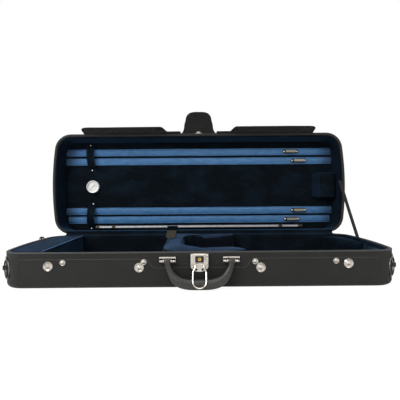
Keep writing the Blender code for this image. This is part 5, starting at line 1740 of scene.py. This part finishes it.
    def tab(self) -> None:
        """The flap's middle tab, standing up."""
        carry = self.flap_matrix(self.tab_seam, radians(90))
        grid = []
        rows, columns = 30, 18
        for row in range(rows + 1):
            t = row / rows
            y = self.tab_sewn - self.tab_long * t
            half = self.half_of_tab(-y)
            line = []
            for column in range(columns + 1):
                s = column / columns * 2 - 1
                bow = 0.0012 * sin(pi * t) * (1 - s * s)
                wave = 0.0010 * noise.noise(Vector((s, t * 2.5, 9.0))) * t
                line.append(Vector((half * s, y, bow + wave)))
            grid.append(line)
        piece = sheet_solid("flap_tab_cloth", grid, self.flap_cloth, carry)
        settle(piece, self.wear.flap, "flap_tab", Slot.COVER, "flap_tab")
        hem = corded("flap_tab_hem", outline_of(grid), (0.0050, 0.0022, 0.0010, 3), UP, matrix=carry)
        settle(hem, self.wear.flap, "flap_tab", Slot.COVER)
        for face, lift in (("inner", -0.0007), ("outer", 0.0007)):
            left = [grid[row][1] + Vector((0.0016, 0.0, lift)) for row in range(3, rows - 1)]
            end = [point + Vector((0, 0.0012, lift)) for point in grid[rows - 2][2:columns - 1]]
            right = [grid[row][-2] + Vector((-0.0016, 0.0, lift)) for row in range(rows - 2, 2, -1)]
            way = (carry.to_3x3() @ Vector((0, 0, lift))).normalized()
            path = [carry @ point for point in left + end + right]
            self.sewing.sew(f"tab_{face}_stitches", path, way, self.wear.thread, "flap_tab")

    def half_of_tab(self, down: float) -> float:
        """Half width of the tab at one distance from its root."""
        if down < self.tab_waist:
            share = min(max(1 - down / self.tab_waist, 0.0), 1.0)
            flare = self.tab_root_half - self.tab_half
            return self.tab_half + flare * (1 - sqrt(max(1 - share**2, 0.0)))
        half = self.tab_half - self.tab_taper * min((down - self.tab_waist) / 0.015, 1.0)
        return max(half - fall_away(down - self.tab_straight, self.tab_round), self.tab_tip_half)

    def tube_foot(self) -> None:
        """Dark collar on the string tube's closed end."""
        low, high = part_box("string_tube")
        radius = (high.y - low.y) / 2
        profile = [(0.0001, -0.0002), (radius, 0.0), (radius + 0.0006, 0.0008), (radius + 0.0006, 0.0092),
                   (radius + 0.0001, 0.0100), (radius + 0.0001, 0.0098)]
        middle = (low + high) / 2
        carry = Matrix.Translation((low.x, middle.y, middle.z)) @ Matrix.Rotation(pi / 2, 4, "Y")
        settle(turned("tube_foot_collar", profile, 32, carry), self.wear.bronze, "tube", Slot.NICKEL)

    def gusset(self) -> None:
        """Velvet strip that covers the hinge from inside, from the base's rim to the lid's."""
        curve = smooth_path([Vector((0, y, z)) for y, z in self.gusset_path], 4)
        half = self.gusset_half
        rows = [[Vector((-half + 2 * half * c / 90, p.y, p.z)) for c in range(91)] for p in curve]
        piece = sheet_solid("hinge_gusset", rows, 0.0008)
        refill(piece, self.wear.navy)
        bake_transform(piece)
        length_of(curve)

    def stay(self) -> None:
        """Woven stay tape from the lid to the base."""
        low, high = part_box("lid_stay")
        points = [vertex.co.copy() for vertex in bpy.data.objects["lid_stay"].data.vertices]
        start = mean([p for p in points if p.z < low.z + self.stay_end])
        end = mean([p for p in points if p.z > high.z - self.stay_end])
        path = []
        for step in range(41):
            share = step / 40
            path.append(start.lerp(end, share) + Vector((0, self.stay_slack * sin(pi * share), 0)))
        piece = corded("lid_stay_tape", path, (0.0084, 0.0012, 0.0004, 2), FRONTWARD)
        piece.data.shade_smooth()
        refill(piece, self.wear.flap)
        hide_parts("lid_stay")
        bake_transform(piece)
        length_of(path)


@dataclass(frozen=True)
class Carrying(SubAssembly):
    """Handle, brackets, lock, rings and chapes on the base's front."""

    pivot: Triple = (0, FRONT - 0.0085, RIM - 0.0172)
    handle_hang: float = radians(-10.5)
    handle_half: float = 0.062
    handle_arm: tuple[Plan, ...] = (
        (0.062, -0.0036), (0.062, 0.0), (0.0612, 0.0070), (0.0590, 0.0140), (0.0556, 0.0210),
        (0.0512, 0.0280), (0.0450, 0.0346), (0.0360, 0.0400), (0.0240, 0.0431), (0.0120, 0.044))
    handle_drop: float = 0.044
    arm_radius: float = 0.0050
    grip_swell: float = 0.0052
    lock_face: float = -0.1443
    ring_radius: float = 0.0185
    ring_wire: float = 0.0015
    chape_middle: float = 0.0395
    chape_rivets: float = 0.0155
    chape_angle: float = radians(35)
    stud_places: tuple[float, ...] = (-0.267, -0.109, 0.109, 0.267)
    stud_drop: float = 0.0195
    disc_places: tuple[Plan, ...] = (
        (-0.296, 0.0269), (-0.118, 0.0304), (0.120, 0.0318), (0.2917, 0.025))
    hinge_height: float = 0.0718
    hinge_half: float = 0.285
    hinge_screws: int = 12

    def build(self) -> None:
        """Make the pieces."""
        self.handle()
        self.lock_details()
        self.rings()
        self.studs()
        self.screws()

    def handle(self) -> None:
        """Padded leather handle: arms that swell into the grip, sewn along its inner side."""
        carry = Matrix.Translation(self.pivot) @ Matrix.Rotation(self.handle_hang, 4, "X")
        half = [Vector((x, 0, -down)) for x, down in self.handle_arm]
        line = half + [Vector((0, 0, -self.handle_drop))] + [Vector((-p.x, 0, p.z)) for p in reversed(half)]
        dense = smooth_path(line, 6)
        reach = [0.0]
        for a, b in zip(dense, dense[1:]):
            reach.append(reach[-1] + (b - a).length)

        def shape(share: float) -> list[Plan]:
            """Section of the handle at a share of its length."""
            number = round(share * (len(dense) - 1))
            near = min(reach[number], reach[-1] - reach[number])
            grow = ease((near - 0.012) / 0.045)
            radius = self.arm_radius + self.grip_swell * grow
            flat = 1.0 + 0.14 * (1 - grow)
            angles = [2 * pi * side / 20 for side in range(20)]
            return [(radius * flat * cos(angle), radius / flat * sin(angle)) for angle in angles]

        piece = followed("handle_leather", dense, shape, FRONTWARD, matrix=carry)
        settle(piece, self.wear.grip, "handle", Slot.GRIP, "handle")
        profile = [(0.0024, -0.0060), (0.0046, -0.0062), (0.0052, -0.0054), (0.0052, 0.0054),
                   (0.0046, 0.0062), (0.0024, 0.0060)]
        for name, side in SIDES:
            place = Matrix.Translation((side * self.handle_half, 0, 0)) @ Matrix.Rotation(pi / 2, 4, "Y")
            eye = turned(f"handle_eye_{name}", profile, 24, carry @ place)
            settle(eye, self.wear.grip, "handle", Slot.GRIP)
        for name, side in (("front", -1), ("rear", 1)):
            path, ways = [], []
            for number in range(14, len(dense) - 14):
                place = dense[number]
                radius = shape(number / (len(dense) - 1))[0][0]
                inner = Vector((0, 1, 0)).cross((dense[number + 1] - dense[number - 1]).normalized())
                if inner.dot(Vector((0, 0, -0.010)) - place) < 0:
                    inner = -inner
                way = (inner * 0.80 + Vector((0, side * 0.60, 0))).normalized()
                path.append(carry @ (place + way * (radius * 0.99)))
                ways.append(carry.to_3x3() @ way)
            self.sewing.sew(
                f"handle_{name}_stitches", path, ways, self.wear.thread, "handle", Slot.GRIP, 0.0034, 0.0007)

    def lock_details(self) -> None:
        """Dark recess round the key, two rivets below it, and the brackets' dark plates and knobs."""
        wear = self.wear
        middle = RIM - 0.0136
        recess = rounded_box(0.0168, 0.0122, 0.0014, 3)
        rings = [[(x, y, middle + z) for x, z in recess] for y in (-0.1435, -0.1442)]
        settle(rings_solid("lock_recess", rings), wear.black, "lever", Slot.NICKEL)
        bead = [Vector((x, self.lock_face, middle + z)) for x, z in rounded_box(0.0176, 0.0130, 0.0018, 4)]
        frame = corded("lock_recess_bead", bead, (0.0011, 0.0011, 0.0005, 2), FRONTWARD, closed=True)
        settle(frame, wear.nickel, "lever", Slot.NICKEL)
        spots = [Spot(Vector((side * 0.0062, -0.1385, 0.0366)), FRONTWARD, 0.9) for side in (-1, 1)]
        self.sewing.fasten("lock_rivets", "rivet", spots, wear.black, "base")
        profile = [(0.0001, 0.0), (0.0022, 0.0), (0.0030, 0.0012), (0.0033, 0.0030), (0.0029, 0.0046),
                   (0.0018, 0.0058), (0.0001, 0.0062)]
        for name, side in SIDES:
            low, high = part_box(f"handle_bracket_{name}")
            centre = (low.x + high.x) / 2
            pad = rounded_box(high.x - low.x - 0.0006, 0.0118, 0.0010, 2)
            rings = [[(centre + x, y, 0.0553 + z) for x, z in pad] for y in (-0.1383, -0.1386)]
            settle(rings_solid(f"bracket_pad_{name}", rings), wear.black, "base", Slot.NICKEL)
            for reach in (-0.0135, 0.0135):
                place = Matrix.Translation((centre + reach, -0.1386, RIM - 0.0178))
                label = "outer" if reach * side > 0 else "inner"
                knob = turned(
                    f"bracket_knob_{name}_{label}", profile, 20, place @ Matrix.Rotation(pi / 2, 4, "X"))
                settle(knob, wear.nickel, "base", Slot.NICKEL)

    def corner_place(self, side: int, height: float, out: float) -> tuple[Vector, Vector]:
        """A point and direction on the middle of a front corner's chape."""
        x, y = PLAN.corner_centre()
        way = Vector((side * cos(self.chape_angle), -sin(self.chape_angle), 0))
        return Vector((side * x, -y, height)) + way * (PLAN.corner + out), way

    def rings(self) -> None:
        """Round rings and the rivets of their chapes."""
        section = circle(self.ring_wire, 14)
        for name, side in SIDES:
            node = f"carry_ring_{name}"
            vertices = [v.co.copy() for v in bpy.data.objects[node].data.vertices]
            centre = mean(vertices)
            wide = max(vertices, key=lambda p: Vector((p.x - centre.x, p.y - centre.y)).length)
            along = Vector((wide.x - centre.x, wide.y - centre.y, 0)).normalized()
            path = []
            for step in range(64):
                angle = 2 * pi * step / 64
                turn = along * (self.ring_radius * cos(angle))
                path.append(centre + turn + Vector((0, 0, self.ring_radius * sin(angle))))
            across = Vector((-along.y, along.x, 0))
            ring = followed(f"ring_{name}", path, lambda share: section, across, closed=True)
            settle(ring, self.wear.steel, f"ring_{name}", Slot.NICKEL, node)
            spots = []
            for height in (self.chape_middle - self.chape_rivets, self.chape_middle + self.chape_rivets):
                place, way = self.corner_place(side, height, 0.0018)
                spots.append(Spot(place, way, 1.1))
            self.sewing.fasten(f"chape_{name}_rivets", "rivet", spots, self.wear.nickel, "base")

    def studs(self) -> None:
        """Press studs and plain strap discs on the front."""
        studs = [(x, self.stud_drop) for x in self.stud_places]
        for name, kind, places in (("press_studs", "stud", studs), ("strap_discs", "disc", self.disc_places)):
            spots = [Spot(Vector((x, FRONT - 0.0001, RIM - drop)), FRONTWARD) for x, drop in places]
            self.sewing.fasten(name, kind, spots, self.wear.nickel, "base")

    def screws(self) -> None:
        """Screws of the lock, brackets and hinge."""
        spots = []
        for side in (-1, 1):
            for height in (0.0635, 0.0480):
                place = Vector((side * 0.01475, self.lock_face, height))
                spots.append(Spot(place, FRONTWARD, 0.75, side + height * 40))
        self.sewing.fasten("front_screws", "screw", spots, self.wear.nickel, "base")
        back, last = HALF_WIDTH + GAP + 0.0011, self.hinge_screws - 1
        xs = [-self.hinge_half + 2 * self.hinge_half * step / last for step in range(self.hinge_screws)]
        low, high = self.hinge_height - 0.0105, self.hinge_height + 0.0105
        spots = [Spot(Vector((x, back, low)), Vector((0, 1, 0)), 1.1, x * 30) for x in xs]
        self.sewing.fasten("hinge_base_screws", "screw", spots, self.wear.nickel, "base")
        way = LidSpace.direction(Vector((0, 1, 0)))
        spots = [Spot(LidSpace.opened @ Vector((x, back, high)), way, 1.1, x * 20) for x in xs]
        self.sewing.fasten("hinge_lid_screws", "screw", spots, self.wear.nickel, "lid")


@dataclass(frozen=True)
class CarriedOver(SubAssembly):
    """CAD pieces that stay, with their finishes and softened edges."""

    pressed: tuple[tuple[float, tuple[str, ...]], ...] = (
        (0.0004, ("lock_plate", "lock_lever")),
        (0.0003, ("lid_catch", "handle_bracket_left", "handle_bracket_right", "ring_chape_left",
                  "ring_chape_right")),
        (0.0002, ("tube_clip_left", "tube_clip_right")),
        (0.0007, tuple(f"bow_spinner_{n}" for n in range(1, 5))),
        (0.0004, tuple(f"spinner_plate_{n}" for n in range(1, 5))),
    )

    def build(self) -> None:
        """Dress the pieces."""
        wear = self.wear
        finishes = {
            wear.plywood: ("base_shell", "lid_shell"),
            wear.nickel: ("handle_bracket_left", "handle_bracket_right", "handle_pin_left",
                          "handle_pin_right", "lock_plate", "lock_lever", "lock_bail", "lid_catch"),
            wear.bronze: ("hinge_leaf_base", "hinge_leaf_lid", "hinge_pin", "string_tube_cap",
                          "tube_clip_left", "tube_clip_right"),
            wear.brass: ("key_barrel",),
            wear.bar: tuple(f"bow_spinner_{n}" for n in range(1, 5)),
            wear.black: tuple(f"spinner_plate_{n}" for n in range(1, 5)),
            wear.leather: ("ring_chape_left", "ring_chape_right"),
            wear.tube: ("string_tube",),
            wear.ink: ("hygrometer_needle",),
        }
        for material, names in finishes.items():
            for name in names:
                refill(bpy.data.objects[name], material)
                LOG.info("%s keeps its shape", name)
        for width, names in self.pressed:
            for name in names:
                self.soften(bpy.data.objects[name], width)

    @staticmethod
    def soften(piece: Piece, width: float) -> None:
        """Round the edges of a pressed or moulded piece."""
        join = piece.modifiers.new("join", "WELD")
        join.merge_threshold = 0.00001
        bevelled(piece, width, 50).harden_normals = True


@dataclass(frozen=True)
class Studio:
    """Pale floor, soft lamps and the camera."""

    lens: float = 31.94
    viewpoint: Triple = (0.0003, -0.8259, 0.1916)
    heading: float = -0.132
    dip: float = 1.603
    roll: float = -0.426
    lamp_setup: tuple[tuple[str, Triple, float, float], ...] = (
        ("key_lamp", (-1.2, -1.4, 1.5), 1.2, 34.0),
        ("fill_lamp", (1.3, -1.7, 1.2), 1.2, 8.0),
        ("top_lamp", (0.0, 0.2, 2.2), 1.6, 18.0),
    )

    def build(self) -> None:
        """Set the scene."""
        self.floor()
        self.lamps()
        self.camera()

    @staticmethod
    def floor() -> None:
        """White floor that still takes the case's shadow."""
        corners = [(-8, -8, -0.0005), (8, -8, -0.0005), (8, 8, -0.0005), (-8, 8, -0.0005)]
        piece = solid("studio_floor", corners, [(0, 1, 2, 3)])
        surface = Surface("floor_white")
        surface.set({"Base Color": (0.9, 0.9, 0.9, 1), "Roughness": 0.9})
        seen = surface.add("ShaderNodeLightPath", "Is Camera Ray") * 0.85
        glow = surface.add("ShaderNodeEmission", inputs={"Color": (1, 1, 1, 1), "Strength": 1.1})
        lit = Value(surface, surface.shader.outputs[0])
        mix = surface.add("ShaderNodeMixShader", inputs={0: seen, 1: lit, 2: glow})
        surface.plug(surface.tree.nodes["Material Output"].inputs["Surface"], mix)
        refill(piece, surface.material)

    def lamps(self) -> None:
        """World light and three soft area lamps."""
        world = bpy.data.worlds.new("studio_world")
        bpy.context.scene.world = world
        world.use_nodes = True
        tree = Tree(world.node_tree)
        path = tree.add("ShaderNodeLightPath", "Is Camera Ray")
        background = world.node_tree.nodes["Background"]
        background.inputs["Color"].default_value = (1, 1, 1, 1)
        tree.plug(background.inputs["Strength"], path * 0.45 + 0.55)
        for name, place, size, energy in self.lamp_setup:
            data = bpy.data.lights.new(name, "AREA")
            data.energy = energy
            data.shape = "SQUARE"
            data.size = size
            lamp = linked(data)
            lamp.location = place
            aim = Vector((0, 0, 0.15)) - Vector(place)
            lamp.rotation_mode = "QUATERNION"
            lamp.rotation_quaternion = aim.to_track_quat("-Z", "Y")

    def camera(self) -> None:
        """Camera at the photograph's viewpoint."""
        data = bpy.data.cameras.new("photo_camera")
        data.lens = self.lens
        data.sensor_width = 36.0
        data.clip_start = 0.01
        camera = linked(data)
        turn = Matrix.Rotation(radians(self.heading), 4, "Z")
        turn = turn @ Matrix.Rotation(radians(90 - self.dip), 4, "X")
        turn = turn @ Matrix.Rotation(radians(self.roll), 4, "Z")
        camera.matrix_world = Matrix.Translation(self.viewpoint) @ turn
        bpy.context.scene.camera = camera
        bpy.context.scene.view_settings.view_transform = "Standard"


def main() -> None:
    """Dress the whole case."""
    logging.basicConfig(level=logging.INFO, format="%(name)s: %(message)s")
    for old in list(bpy.data.objects):
        bpy.data.objects.remove(old, do_unlink=True)
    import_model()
    wardrobe = Wardrobe()
    sewing = Haberdashery()
    for part in (CarriedOver, BaseBody, LidBody, Cushions, BowFittings, LidFittings, Carrying):
        part(wardrobe, sewing).build()
        LOG.info("%s is dressed", part.__name__)
    sewing.put_away()
    Studio().build()


if __name__ == "__main__":
    main()
